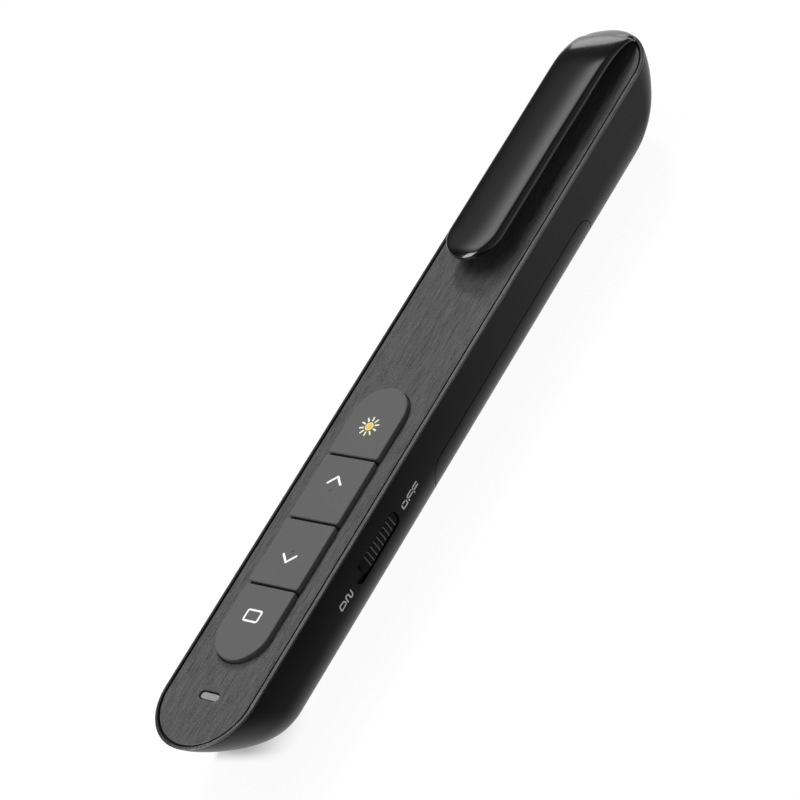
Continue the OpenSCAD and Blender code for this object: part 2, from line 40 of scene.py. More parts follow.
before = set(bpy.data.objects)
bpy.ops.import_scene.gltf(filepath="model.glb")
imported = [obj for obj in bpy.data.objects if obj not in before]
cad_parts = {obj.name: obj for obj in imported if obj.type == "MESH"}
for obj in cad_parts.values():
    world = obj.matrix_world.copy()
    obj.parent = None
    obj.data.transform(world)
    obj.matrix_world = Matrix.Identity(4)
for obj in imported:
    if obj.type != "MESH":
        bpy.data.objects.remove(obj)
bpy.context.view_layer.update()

MM = 0.001
PAST = 1 * MM                 # how far a cutter reaches past a surface
HAIR = 0.02 * MM              # keeps two faces out of one plane

# The body's form, as the solids have it
END_Y = 65.3 * MM             # centres of the two round ends of the face
TAIL_CURVE = 1.21             # exponents of the two end slopes
NOSE_CURVE = 1.73
CHASSIS_Z = 11.7 * MM         # ledge that the inner frame lies on
CHASSIS_R = 8.5 * MM
CHASSIS_ENDS = (-64 * MM, 64.5 * MM)
BOARD_Z = 7.7 * MM
BOARD_SEAT_X = 6.6 * MM       # inner end, ends along the body and thickness of its seats
BOARD_SEAT_ENDS = (-21 * MM, -18 * MM)
BOARD_SEAT_T = 1 * MM
BULKHEADS = (-10.4 * MM, 38.5 * MM)
BULKHEAD_T = 0.9 * MM
CELL_RIBS = (8 * MM, 30 * MM)
CELL_Z = 6.6 * MM
CELL_R = 5.25 * MM
CELL_ENDS = (-6.5 * MM, 36.8 * MM)
CELL_BAND_Y = CELL_ENDS[0] + 30 * MM      # where the dark part of its sleeve ends
SCREWS = ((0, -69.4 * MM), (-6.9 * MM, -1.5 * MM), (6.9 * MM, -1.5 * MM), (0, 42 * MM))
BOSS_FEET = (5 * MM, 7.4 * MM, 7.4 * MM, 0.5 * MM)    # lower ends of the screws' bosses
BOSS_R = 1.6 * MM
BOSS_RIB_ENDS = (-2.6 * MM, -0.4 * MM)
SCREW_HOLE_R = 0.8 * MM
SCREW_HOLE_ENDS = (7.6 * MM, 17.6 * MM)
LASER_Z = 8 * MM
LASER_HOLE_R = 1.6 * MM
GLASS_Y = 67.9 * MM
GLASS_R = 2.3 * MM
GLASS_SEAT_ENDS = (66 * MM, 68.75 * MM)
BAY_X = 6.4 * MM              # the receiver's bay: half its width, its ends and its roof
BAY_ENDS = (-59.2 * MM, -40 * MM)
BAY_ROOF_Z = 6.8 * MM
BAY_CORNER_R = 0.4 * MM
MAGNET_Y = -53 * MM
MAGNET_R = 2.05 * MM
MAGNET_ENDS = (7 * MM, 9 * MM)
SCOOP_R = 6.2 * MM
SCOOP_CENTRE = (0, -39.2 * MM, -4 * MM)

FORM_MERGE = 0.2e-6           # distances within which points are one
WELD = 0.5e-6
FORM_LEVELS = {"Steps": 48, "Corner Levels": 22, "Side Levels": 10, "Edge Levels": 2}

# Keys and their signs
KEY_MID_Y = -31.7 * MM
KEY_SKIRT_Z = 11.8 * MM
KEY_FLANGE_T = 0.7 * MM       # flange round its foot: thickness, reach and nose end
KEY_FLANGE = 0.65 * MM
KEY_FLANGE_NOSE_Y = -7.2 * MM
KEY_CORNER_R = 0.5 * MM
KEY_POST_R = 1.1 * MM
KEY_POST_Z = 10.6 * MM
NUBS = {1: -25.5 * MM, 2: -37.6 * MM}    # y of the nub on the page keys
NUB_X = -0.2 * MM
NUB_R = 0.3 * MM
NUB_H = 0.06 * MM
PRINT_T = 0.02 * MM
SIGN_X = -0.13 * MM
SUN_Y = -12.65 * MM
SUN_R = 0.68 * MM
SUN_RIM_R = 0.8 * MM
RAY_ENDS = (1.17 * MM, 1.8 * MM)          # distances from the sun's middle
RAY_W = 0.3 * MM
ARROWS = (("sign_up", "up_key", -22.9 * MM, -24.3 * MM),       # y of the tip and the ends
          ("sign_down", "down_key", -39.95 * MM, -38.55 * MM))
ARROW_X = 1.38 * MM
ARROW_W = 0.42 * MM
SCREEN_Y = -50.4 * MM
SCREEN_HALF = (1.66 * MM, 1.2 * MM)
SCREEN_R = 0.5 * MM
SCREEN_W = 0.36 * MM
LETTER_W = 0.26 * MM
LIGHT_Y = -65 * MM
LIGHT_HALF = (1.95 * MM, 0.66 * MM)

# Clip
CLIP_ROOT = (70.9 * MM, 11.4 * MM)    # y and z of its bead
CLIP_BEND_Y = 65.7 * MM       # where its top starts to curve down
CLIP_EASE = 2.2 * MM          # length over which that curve starts
CLIP_CURVE = 1.18             # exponent of that curve
CLIP_END_Y = 74.7 * MM
CLIP_LOW_Y = 62.7 * MM        # the same of its underside
CLIP_FOOT_Y = 72.05 * MM
CLIP_LOW_CURVE = 2.25
CLIP_NOSE_R = CLIP_END_Y - END_Y          # its nose end follows the body's round end
CLIP_NOSE_T = 0.12 * MM
CLIP_NECK_X = 2.8 * MM
CLIP_NECK_T = 1.4 * MM
CLIP_NECK_Z = 15.3 * MM
CLIP_BEAD_R = 0.9 * MM
CLIP_LIFT = 0.3 * MM          # its nose stands so far over the face
CLIP_SOCKET_X = 3.6 * MM
CLIP_SOCKET_ENDS = (69.4 * MM, 72.4 * MM)
CLIP_SOCKET_Z = 9.9 * MM
SIDE_LEAN = 42                # share by which its sides lean in, per metre of height

# Receiver
PLUG_ENDS = (-58.9 * MM, -47 * MM)
PLUG_ZS = (1.5 * MM, 6 * MM)
PLUG_X = 6 * MM
PLUG_R = 0.5 * MM

# Letters beside the power slide: lines of y and z in millimetres, and whether each is closed
WORDS = {
    "word_off": (
        ([(-21.55, 8.5), (-21.42, 8.36), (-21.44, 7.8), (-21.6, 7.68), (-22.6, 7.72),
          (-22.74, 7.86), (-22.7, 8.46), (-22.54, 8.6)], True),
        ([(-20.95, 7.66), (-20.88, 8.46), (-20.72, 8.62), (-19.59, 8.64)], False),
        ([(-20.9, 8.08), (-19.62, 8.05)], False),
        ([(-19.26, 7.63), (-19.16, 8.46), (-19, 8.6), (-17.9, 8.58)], False),
        ([(-19.2, 8.04), (-17.93, 8)], False)),
    "word_on": (
        ([(-41.66, 8.6), (-41.5, 8.44), (-41.4, 8.02), (-41.54, 7.88), (-42.74, 7.78),
          (-42.9, 7.92), (-42.8, 8.56), (-42.64, 8.7)], True),
        ([(-41, 7.67), (-40.9, 8.54), (-40.76, 8.68), (-40.32, 8.64), (-40.18, 8.48),
          (-40.16, 7.74), (-40, 7.6), (-39.62, 7.64), (-39.48, 7.78), (-39.38, 8.59)], False)),
}

# Power slide
SLOT_Z = 8.45 * MM
SLOT_DEPTH = 0.5 * MM
SLOT_R = 1.3 * MM
KNOB_NOSE_Y = -24.4 * MM
KNOB_R = 1.2 * MM
KNOB_SUNK = 0.24 * MM         # its top lies so far under the wall
NECK_HALF = (1.5 * MM, 0.6 * MM)
NECK_GAP = 0.2 * MM
NECK_LAP = 0.1 * MM
RIB_MID_Y = -29.7 * MM
RIB_HALF_W = 0.13 * MM
RIB_H = 0.24 * MM

# Stage
FLOOR_R = 4.0
CAMERA_SPOT = (339.962 * MM, -208.901 * MM, 334.955 * MM)
CAMERA_RIGHT = (0.73831, 0.47959, -0.47423)
CAMERA_UP = (-0.11410, 0.78180, 0.61300)


def size(name, description, millimetres):
    """A length that a user may change."""
    return FloatProperty(
        name=name, description=description, default=millimetres * MM,
        min=0, precision=5, unit="LENGTH")


def colour(name, description, red, green, blue):
    """A colour that a user may change."""
    return FloatVectorProperty(
        name=name, description=description, default=(red, green, blue),
        min=0, max=1, size=3, subtype="COLOR")


def lamp_power(name, description, watts):
    """The power of a lamp, which a user may change."""
    return FloatProperty(
        name=name, description=description, default=watts, min=0, unit="POWER")


class BodySizes(bpy.types.PropertyGroup):
    """Sizes of the shell, the faceplate and the battery door."""
    length: size("Length", "Overall length of the body", 150)
    width: size("Width", "Width of the key face", 19.4)
    depth: size("Depth", "Depth from the back to the key face", 13.6)
    corner: size("Corner radius", "Radius of the two long lower edges", 7)
    tail_rake: size("Tail slope", "How far the tail slopes in towards the back", 11.4)
    nose_rake: size("Nose slope", "How far the nose slopes in towards the back", 18)
    wall: size("Wall", "Thickness of the shell", 1.2)
    rim_drop: size("Rim drop", "How far the rim falls towards its outer edge", 0.15)
    rim_slope: size("Rim slope", "Width of that slope", 0.58)
    rim: size("Rim", "Width of the rim round the faceplate", 0.56)
    rim_height: size("Rim height", "Height of the rim over the shell's wall", 0.5)
    plate: size("Faceplate", "Thickness of the faceplate", 0.9)
    plate_gap: size("Faceplate gap", "Gap between the rim and the faceplate", 0.2)
    door_tail: size("Door tail", "Distance of the door's tail end behind the middle", 14.8)
    door_nose: size("Door nose", "Distance of the door's nose end before the middle", 40.2)
    door_seam: size("Door seam", "Height of the door's seam over the back", 7)
    door_corner: size("Door corner", "Radius of the door's corners", 3.2)
    door_gap: size("Door gap", "Gap round the door", 0.15)


class KeySizes(bpy.types.PropertyGroup):
    """Sizes of the keys."""
    width: size("Width", "Width of the group of keys", 10.8)
    group: size("Group length", "Length of the group of keys", 54)
    pitch: size("Pitch", "Length of a middle key with its gap", 12.9)
    gap: size("Gap", "Gap between two keys", 0.45)
    clearance: size("Clearance", "Gap between the keys and the faceplate", 0.15)
    raised: size("Height", "Height of the keys over the faceplate", 0.8)
    edge: size("Edge", "Rounding round the top of a key", 0.22)
    rays: IntProperty(name="Rays", description="Rays of the sun sign", default=10, min=4, max=16)


class ClipSizes(bpy.types.PropertyGroup):
    """Sizes of the pocket clip."""
    width: size("Width", "Width of the clip", 11.2)
    tip: size("Tip", "Distance of the free end from the middle of the body", 20.8)
    gap: size("Gap", "Gap between the faceplate and the clip", 2.8)
    edge: size("Edge", "Thickness at the long edges", 1.1)
    crown: size("Crown", "How much thicker the clip is along its middle", 0.7)


class SlideSizes(bpy.types.PropertyGroup):
    """Sizes of the power slide."""
    length: size("Length", "Length of the ribbed slide", 11.2)
    height: size("Height", "Height of the ribbed slide", 2.8)
    travel: size("Travel", "Travel between OFF and ON", 2)
    ribs: IntProperty(name="Ribs", description="Ribs across the slide", default=9, min=3, max=14)


class Finishes(bpy.types.PropertyGroup):
    """Colours of the finished surfaces."""
    shell: colour("Shell", "Satin black plastic", 0.005, 0.005, 0.0055)
    rim: colour("Rim", "Brushed grey with a metal sheen", 0.072, 0.072, 0.074)
    plate: colour("Faceplate", "Brushed dark grey", 0.08, 0.08, 0.082)
    keys: colour("Keys", "Soft matte grey", 0.104, 0.104, 0.106)
    clip: colour("Clip", "Gloss black", 0.004, 0.004, 0.0045)
    slide: colour("Slide", "Satin black", 0.004, 0.004, 0.004)
    # the ribs' lighter black is a painted highlight: it stands in for the light that their edges
    # catch
    ribs: colour("Slide ribs", "Black lightened as a painted highlight", 0.11, 0.11, 0.11)
    print: colour("Signs", "White print on the keys", 0.9, 0.9, 0.9)
    sun: colour("Sun", "Yellow print on the laser key", 0.74, 0.52, 0.08)
    rays: colour("Sun rays", "Pale yellow print round the sun", 0.9, 0.86, 0.62)
    letters: colour("Letters", "Silver print on the side", 0.72, 0.72, 0.72)
    lens: colour("Light", "Milky window of the status light", 0.27, 0.275, 0.28)


class StageSettings(bpy.types.PropertyGroup):
    """Floor, lamps and camera."""
    fill: FloatProperty(
        name="Fill", description="Strength of the even light from all round", default=0.1, min=0)
    panel: FloatProperty(
        name="Panel", description="Strength of the long light panel over the left side",
        default=2.6, min=0)
    key: lamp_power("Key lamp", "Power of the soft lamp over the left of the nose", 106)
    sheen: lamp_power("Sheen lamp", "Power of the wide lamp behind the tail, seen in gloss only", 11)
    glint: lamp_power("Glint lamp", "Power of the low lamp before the nose, seen in gloss only", 0.22)
    shadow: FloatProperty(
        name="Shadow", description="How much of the shadow the floor shows", default=0.05,
        min=0, max=1, subtype="FACTOR")
    lens: FloatProperty(
        name="Lens", description="Focal length of the camera on a 36 mm sensor",
        default=141.43, min=10, unit="CAMERA")


# ---- numbers in node trees ----

class Number:
    """A number in a node tree. Arithmetic on it adds Math nodes to the tree."""

    def __init__(self, tree, socket):
        self.tree = tree
        self.socket = socket

    def math(self, operation, *others):
        node = self.tree.nodes.new("ShaderNodeMath")
        node.operation = operation
        for entry, value in zip(node.inputs, (self,) + others):
            put(self.tree, entry, value)
        return Number(self.tree, node.outputs[0])

    def __add__(self, other):
        return self.math("ADD", other)

    def __sub__(self, other):
        return self.math("SUBTRACT", other)

    def __rsub__(self, other):
        return self.math("MULTIPLY", -1) + other

    def __mul__(self, other):
        return self.math("MULTIPLY", other)

    def __truediv__(self, other):
        return self.math("DIVIDE", other)

    def __pow__(self, other):
        return self.math("POWER", other)

    __radd__ = __add__
    __rmul__ = __mul__

    def at_least(self, other):
        return self.math("MAXIMUM", other)

    def at_most(self, other):
        return self.math("MINIMUM", other)

    def above(self, other):
        return self.math("GREATER_THAN", other)

    def ramp(self, low, high):
        """Smooth step from 0 at low to 1 at high."""
        step = add_node(self.tree, "ShaderNodeMapRange", {
            "Value": self, "From Min": low, "From Max": high}, interpolation_type="SMOOTHSTEP")
        return Number(self.tree, step.outputs["Result"])

    def band(self, *edges):
        """Rises from 0 to 1 between the first two edges and falls between the last two."""
        return self.ramp(*edges[:2]) * (1 - self.ramp(*edges[2:]))

    def root(self):
        return self.at_least(0).math("SQRT")

    def sine(self):
        return self.math("SINE")

    def cosine(self):
        return self.math("COSINE")


def put(tree, entry, value):
    """Feeds a Number, a socket or a plain value into a node's input."""
    if isinstance(value, Number):
        tree.links.new(value.socket, entry)
    elif isinstance(value, bpy.types.NodeSocket):
        tree.links.new(value, entry)
    else:
        entry.default_value = value


def add_node(tree, kind, entries=None, **settings):
    """New node with its settings and inputs; returns the node."""
    node = tree.nodes.new(kind)
    for name, value in settings.items():
        setattr(node, name, value)
    for name, value in (entries or {}).items():
        put(tree, node.inputs[name], value)
    return node


def coordinates(tree, vector):
    """The three coordinates of a vector, as Numbers."""
    parts = add_node(tree, "ShaderNodeSeparateXYZ", {0: vector})
    return [Number(tree, output) for output in parts.outputs]


# ---- Geometry Nodes trees ----

def geometry_tree(name, inputs):
    """New tree with a geometry input and output and the named inputs. Returns the tree
    and its inputs as a dict: numbers as Number, the rest as sockets."""
    tree = bpy.data.node_groups.new(name, "GeometryNodeTree")
    face = tree.interface
    face.new_socket("Geometry", in_out="INPUT", socket_type="NodeSocketGeometry")
    for label, kind in inputs.items():
        face.new_socket(label, in_out="INPUT", socket_type="NodeSocket" + kind)
    face.new_socket("Geometry", in_out="OUTPUT", socket_type="NodeSocketGeometry")
    entry = tree.nodes.new("NodeGroupInput")
    given = {"Geometry": entry.outputs["Geometry"]}
    for label, kind in inputs.items():
        socket = entry.outputs[label]
        given[label] = Number(tree, socket) if kind in ("Float", "Int") else socket
    return tree, given


def end_tree(tree, geometry, material):
    """Ends a tree in Realize Instances and Set Material."""
    real = add_node(tree, "GeometryNodeRealizeInstances", {"Geometry": geometry})
    coat = add_node(tree, "GeometryNodeSetMaterial",
                    {"Geometry": real.outputs[0], "Material": material})
    tree.links.new(coat.outputs[0], tree.nodes.new("NodeGroupOutput").inputs[0])
    return tree


def rake_numbers(share, reach, curve):
    """Inward shift of an end at a share of the depth, along a superellipse."""
    return reach * (1 - (1 - share ** curve).at_least(0) ** (1 / curve))


def body_form_tree():
    """Closed form of the body: a grid whose rows are the body's levels and whose columns
    go once round it. A row is two half circles joined by straight sides."""
    tree, given = geometry_tree("Body form", {
        "Half Width": "Float", "Half Length": "Float", "Depth": "Float", "Corner": "Float",
        "Tail Slope": "Float", "Nose Slope": "Float", "Rim Drop": "Float", "Rim Slope": "Float",
        "Top": "Float",
        "Steps": "Int", "Corner Levels": "Int", "Side Levels": "Int",
        "Edge Levels": "Int", "Material": "Material"})
    steps = given["Steps"]
    corner_n = given["Corner Levels"]
    side_n = given["Side Levels"]
    edge_n = given["Edge Levels"]
    columns = steps * 2 + 3
    rows = corner_n + side_n + edge_n + 3
    grid = add_node(tree, "GeometryNodeMeshGrid", {
        "Size X": 1.0, "Size Y": 1.0, "Vertices X": columns, "Vertices Y": rows})
    position = tree.nodes.new("GeometryNodeInputPosition")
    grid_x, grid_y, _ = coordinates(tree, position.outputs[0])
    column = ((grid_x + 0.5) * (columns - 1)).math("ROUND")
    row = ((grid_y + 0.5) * (rows - 1)).math("ROUND") - 1

    # depth of the row under the face: rounded corner, straight side, slope of the rim
    radius = given["Corner"]
    edge = given["Rim Drop"]
    slope = given["Rim Slope"]
    straight = given["Depth"] - radius - edge
    quarter = math.pi / 2
    low = ((corner_n - row) / corner_n).at_least(0).at_most(1)
    side = ((corner_n + side_n - row) / side_n).at_least(0).at_most(1)
    high = ((row - corner_n - side_n) / edge_n).at_least(0).at_most(1)
    depth = edge * (1 - high) + straight * side + radius * (low * quarter).sine()
    below = (depth - given["Depth"] + radius).at_least(0)
    half = (given["Half Width"] - radius + (radius * radius - below * below).root()
            - slope * high)

    share = depth / given["Depth"]
    nose = (given["Half Length"] - given["Half Width"]
            - rake_numbers(share, given["Nose Slope"], NOSE_CURVE))
    tail = (given["Half Width"] - given["Half Length"]
            + rake_numbers(share, given["Tail Slope"], TAIL_CURVE))
    # where the corner narrows a level, the centre of its round end moves out with it
    narrowing = given["Half Width"] - half - slope * high

    around = column.math("MODULO", columns - 1)
    tail_half = around.above(steps + 0.5)
    angle = (around - tail_half * (steps + 1)) / steps * math.pi
    sign = 1 - tail_half * 2
    # the first and last rows lie on the centre line and close the form
    open_row = row.above(-0.5) * (corner_n + side_n + edge_n + 0.5 - row).above(0)
    reach = half * open_row
    x = sign * reach * angle.cosine()
    y = (sign * (reach * angle.sine() + narrowing)
         + tail_half * tail + (1 - tail_half) * nose)
    spot = add_node(tree, "ShaderNodeCombineXYZ",
                    {0: x, 1: y, 2: given["Top"] - depth})
    moved = add_node(tree, "GeometryNodeSetPosition",
                     {"Geometry": grid.outputs["Mesh"], "Position": spot.outputs[0]})
    merged = add_node(tree, "GeometryNodeMergeByDistance",
                      {"Geometry": moved.outputs[0], "Distance": FORM_MERGE})
    smooth = add_node(tree, "GeometryNodeSetShadeSmooth", {"Geometry": merged.outputs[0]})
    return end_tree(tree, smooth.outputs[0], given["Material"])


def row_tree():
    """Copies of the piece in a straight row."""
    tree, given = geometry_tree("Row of copies", {
        "Count": "Int", "Start": "Vector", "Step": "Vector", "Material": "Material"})
    line = add_node(tree, "GeometryNodeMeshLine", {
        "Count": given["Count"], "Start Location": given["Start"], "Offset": given["Step"]})
    copies = add_node(tree, "GeometryNodeInstanceOnPoints", {
        "Points": line.outputs[0], "Instance": given["Geometry"]})
    return end_tree(tree, copies.outputs[0], given["Material"])


def ring_tree():
    """Copies of the piece turned about a centre, at equal angles."""
    tree, given = geometry_tree("Ring of copies", {
        "Count": "Int", "Centre": "Vector", "Material": "Material"})
    points = add_node(tree, "GeometryNodePoints",
                      {"Count": given["Count"], "Position": given["Centre"]})
    index = Number(tree, tree.nodes.new("GeometryNodeInputIndex").outputs[0])
    turn = add_node(tree, "ShaderNodeCombineXYZ",
                    {2: index / given["Count"] * (2 * math.pi)})
    copies = add_node(tree, "GeometryNodeInstanceOnPoints", {
        "Points": points.outputs[0], "Instance": given["Geometry"],
        "Rotation": turn.outputs[0]})
    return end_tree(tree, copies.outputs[0], given["Material"])


def coil_tree():
    """Round wire along a conical coil whose axis is +Z."""
    tree, given = geometry_tree("Coil of wire", {
        "Turns": "Float", "Start Radius": "Float", "End Radius": "Float",
        "Length": "Float", "Wire Radius": "Float", "Material": "Material"})
    path = add_node(tree, "GeometryNodeCurveSpiral", {
        "Resolution": 40, "Rotations": given["Turns"], "Start Radius": given["Start Radius"],
        "End Radius": given["End Radius"], "Height": given["Length"]})
    wire = add_node(tree, "GeometryNodeCurvePrimitiveCircle",
                    {"Resolution": 12, "Radius": given["Wire Radius"]})
    tube = add_node(tree, "GeometryNodeCurveToMesh", {
        "Curve": path.outputs[0], "Profile Curve": wire.outputs[0], "Fill Caps": True})
    return end_tree(tree, tube.outputs[0], given["Material"])


made_trees = {}               # by the function that makes each


def run_tree(piece, make_tree, values):
    """Puts a tree on the piece with these values and makes its result the piece's mesh."""
    tree = made_trees.get(make_tree) or make_tree()
    made_trees[make_tree] = tree
    modifier = piece.modifiers.new(tree.name, "NODES")
    modifier.node_group = tree
    for item in tree.interface.items_tree:
        if item.in_out == "INPUT" and item.name in values:
            modifier[item.identifier] = values[item.name]
    bake(piece)
    return piece


# ---- meshes ----

def bake(piece):
    """Makes the result of the piece's modifiers its own mesh and removes them."""
    depsgraph = bpy.context.evaluated_depsgraph_get()
    depsgraph.update()
    mesh = bpy.data.meshes.new_from_object(
        piece.evaluated_get(depsgraph), preserve_all_data_layers=True, depsgraph=depsgraph)
    piece.modifiers.clear()
    piece.data = mesh


def new_piece(name, verts, faces, material=None):
    """New object with this mesh, its faces pointing outwards."""
    mesh = bpy.data.meshes.new(name)
    mesh.from_pydata(verts, [], faces)
    mesh.update()
    if material:
        mesh.materials.append(material)
    shape = bmesh.new()
    shape.from_mesh(mesh)
    bmesh.ops.recalc_face_normals(shape, faces=shape.faces)
    shape.to_mesh(mesh)
    shape.free()
    piece = bpy.data.objects.new(name, mesh)
    bpy.context.scene.collection.objects.link(piece)
    return piece


def loft(name, rings, material=None):
    """Closed solid through rings that have the same number of points."""
    n = len(rings[0])
    verts = [point for ring in rings for point in ring]
    faces = [tuple(range(n)), tuple(range(len(verts) - n, len(verts)))[::-1]]
    for k in range(len(rings) - 1):
        for i in range(n):
            j = (i + 1) % n
            faces.append((k * n + i, (k + 1) * n + i, (k + 1) * n + j, k * n + j))
    return new_piece(name, verts, faces, material)


def box(name, low, high, material=None):
    """Box given by its two opposite corners."""
    ring = [(low[0], low[1]), (high[0], low[1]), (high[0], high[1]), (low[0], high[1])]
    return loft(name, [[(x, y, z) for x, y in ring] for z in (low[2], high[2])], material)


def middle_box(name, half_width, ys, zs, material=None):
    """Box across the middle of the body, between two places along it and two heights."""
    return box(name, (-half_width, ys[0], zs[0]), (half_width, ys[1], zs[1]), material)


def side_box(name, side, reach, ys, zs, material=None):
    """Box on the right (1) or left (-1) side, between two distances from the middle."""
    x0, x1 = sorted((side * reach[0], side * reach[1]))
    return box(name, (x0, ys[0], zs[0]), (x1, ys[1], zs[1]), material)


def rounded_box_outline(low, high, radii, steps=8):
    """Flat outline of a rectangle. Its corners have four radii, counterclockwise from
    the one at both lowest coordinates."""
    (x0, y0), (x1, y1) = low, high
    points = []
    corners = ((x0, y0, 1, 1, 180), (x1, y0, -1, 1, 270), (x1, y1, -1, -1, 0), (x0, y1, 1, -1, 90))
    for (x, y, sx, sy, start), r in zip(corners, radii):
        for i in range(steps + 1):
            a = math.radians(start + 90 * i / steps)
            points.append((x + sx * r + r * math.cos(a), y + sy * r + r * math.sin(a)))
    return points


def slot_outline(u0, u1, v0, v1, radius):
    """Flat outline of a rectangle with four equal corners."""
    return rounded_box_outline((u0, v0), (u1, v1), [radius] * 4)


def capsule_outline(r, y0, y1, steps=24):
    """Flat outline with two round ends of this radius, whose centres are at y0 and y1."""
    return rounded_box_outline((-r, y0 - r), (r, y1 + r), [r] * 4, steps)


def face_outline(radius):
    """Flat outline that runs at an even distance inside the edge of the key face."""
    return capsule_outline(radius, -END_Y, END_Y, 48)


def circle(radius, u, v, steps=48):
    """Flat outline of a circle."""
    return [(u + radius * math.cos(2 * math.pi * i / steps),
             v + radius * math.sin(2 * math.pi * i / steps)) for i in range(steps)]


def stack(name, outline, profile, material=None, axis="Z"):
    """Solid whose outline(grow) is drawn at each (height, grow) of the profile."""
    place = {"Z": lambda u, v, h: (u, v, h), "X": lambda u, v, h: (h, u, v),
             "Y": lambda u, v, h: (v, h, u)}[axis]
    return loft(name, [[place(u, v, h) for u, v in outline(grow)] for h, grow in profile],
                material)


def rounded_top(top, radius, steps=5):
    """Part of a profile that rounds the edge at the top inwards."""
    angles = [math.radians(90 * i / steps) for i in range(steps + 1)]
    return [(top - radius + radius * math.sin(a), -radius + radius * math.cos(a))
            for a in angles]


def flared_top(low, top, edge):
    """Profile of a cutter that starts at low and rounds the mouth of its hole at the top."""
    return [(low, 0), (top - edge, 0), (top - 0.3 * edge, 0.3 * edge), (top, edge),
            (top + PAST, edge)]


def rod(name, radius, low, high, centre, axis, material=None, steps=48):
    """Rod between two places on an axis."""
    return stack(name, lambda g: circle(radius + g, *centre, steps), [(low, 0), (high, 0)],
                 material, axis)


def combine(piece, others, operation):
    """Boolean of the piece with each of the others, which are used up."""
    for other in others:
        modifier = piece.modifiers.new(operation, "BOOLEAN")
        modifier.operation = operation
        modifier.solver = "EXACT"
        modifier.object = other
    bake(piece)
    for other in others:
        bpy.data.objects.remove(other)
    return piece


def soften(piece, width, angle=35, segments=2):
    """Rounds the sharp edges of a piece and shades it smooth."""
    merge = piece.modifiers.new("merge", "WELD")
    merge.merge_threshold = WELD
    bevel = piece.modifiers.new("edges", "BEVEL")
    bevel.width = width
    bevel.segments = segments
    bevel.limit_method = "ANGLE"
    bevel.angle_limit = math.radians(angle)
    bevel.use_clamp_overlap = True
    bevel.miter_outer = "MITER_ARC"
    bake(piece)
    return shade(piece)


def shade(piece, angle=38):
    """Smooth shading, with normals that follow the large faces."""
    mesh = piece.data
    mesh.shade_smooth()
    mesh.set_sharp_from_angle(angle=math.radians(angle))
    weighted = piece.modifiers.new("normals", "WEIGHTED_NORMAL")
    weighted.keep_sharp = True
    bake(piece)
    return piece


def stroke(name, points, width, closed, to_place, material):
    """Printed line of even width with round joints, drawn as one thin raised sheet.
    to_place turns a flat point and a height into a place."""
    pieces = []
    ends = points[1:] + points[:1] if closed else points[1:]
    half = width / 2
    for a, b in zip(points, ends):
        direction = (Vector(b) - Vector(a)).normalized()
        turn = math.atan2(direction.y, direction.x)
        outline = [(end[0] + half * math.cos(turn + math.radians(t)),
                    end[1] + half * math.sin(turn + math.radians(t)))
                   for end, first in ((b, -90), (a, 90)) for t in range(first, first + 181, 15)]
        rings = [[to_place(x, y, h) for x, y in outline] for h in (-PRINT_T, PRINT_T)]
        pieces.append(loft(name, rings, material))
    if len(pieces) > 1:
        combine(pieces[0], pieces[1:], "UNION")
    return pieces[0]


def finish(piece, body, replaces=()):
    """Puts a finished piece on its body and hides the solids that it replaces."""
    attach(piece, body)
    if replaces:
        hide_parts(*replaces)


# ---- materials ----

MIX_ENTRIES = (0, 6, 7)       # a colour Mix node's inputs for the factor and both colours
MIX_RESULT = 2
SATIN = {"roughness": 0.34, "specular": 0.18}      # moulded finish of the shell and its door


def new_material(name, base, roughness, specular=0.5, metallic=0.0):
    """New material with its principled shader set to plain values. Returns the material,
    its tree, the shader and the Object coordinates."""
    material = bpy.data.materials.new(name)
    material.use_nodes = True
    tree = material.node_tree
    shader = tree.nodes["Principled BSDF"]
    shader.inputs["Base Color"].default_value = (*base, 1)
    shader.inputs["Roughness"].default_value = roughness
    shader.inputs["Specular IOR Level"].default_value = specular
    shader.inputs["Metallic"].default_value = metallic
    material.diffuse_color = (*base, 1)
    where = tree.nodes.new("ShaderNodeTexCoord").outputs["Object"]
    return material, tree, shader, where


def noise(tree, where, scale, detail=3, stretch=(1, 1, 1)):
    """Noise from 0 to 1 of this scale per metre, drawn out by the stretch."""
    placed = add_node(tree, "ShaderNodeMapping", {"Vector": where, "Scale": stretch})
    texture = add_node(tree, "ShaderNodeTexNoise", {
        "Vector": placed.outputs[0], "Scale": scale, "Detail": detail})
    return Number(tree, texture.outputs["Fac"])


def blend_base(tree, shader, factor, first, second):
    """Base colour that goes from the first to the second by the factor."""
    mixed = add_node(tree, "ShaderNodeMix", data_type="RGBA")
    for entry, value in zip(MIX_ENTRIES, (factor, (*first, 1), (*second, 1))):
        put(tree, mixed.inputs[entry], value)
    tree.links.new(mixed.outputs[MIX_RESULT], shader.inputs["Base Color"])


def tint(tree, shader, base, factor, darkest, lightest):
    """Varies the base colour between two shares of itself by the factor."""
    blend_base(tree, shader, factor, [c * darkest for c in base],
               [min(1, c * lightest) for c in base])


def vary_gloss(tree, shader, factor, roughness, spread):
    """Varies the roughness about its middle value by the factor."""
    put(tree, shader.inputs["Roughness"], factor * spread + (roughness - spread / 2))


def bump(tree, shader, height, distance, strength=1.0):
    """Relief from a height between 0 and 1, that many metres deep."""
    relief = add_node(tree, "ShaderNodeBump", {
        "Height": height, "Distance": distance, "Strength": strength})
    tree.links.new(relief.outputs[0], shader.inputs["Normal"])


def moulded(name, base, roughness, specular=0.5, grain=5200, depth=0.012 * MM, varied=0.12):
    """Moulded plastic: a fine spark-eroded grain with a slightly uneven gloss."""
    material, tree, shader, where = new_material(name, base, roughness, specular)
    fine = noise(tree, where, grain, detail=2)
    broad = noise(tree, where, scale=90)
    tint(tree, shader, base, broad, 1 - varied, 1 + varied)
    vary_gloss(tree, shader, broad, roughness, spread=0.14)
    bump(tree, shader, fine, depth, strength=0.5)
    return material


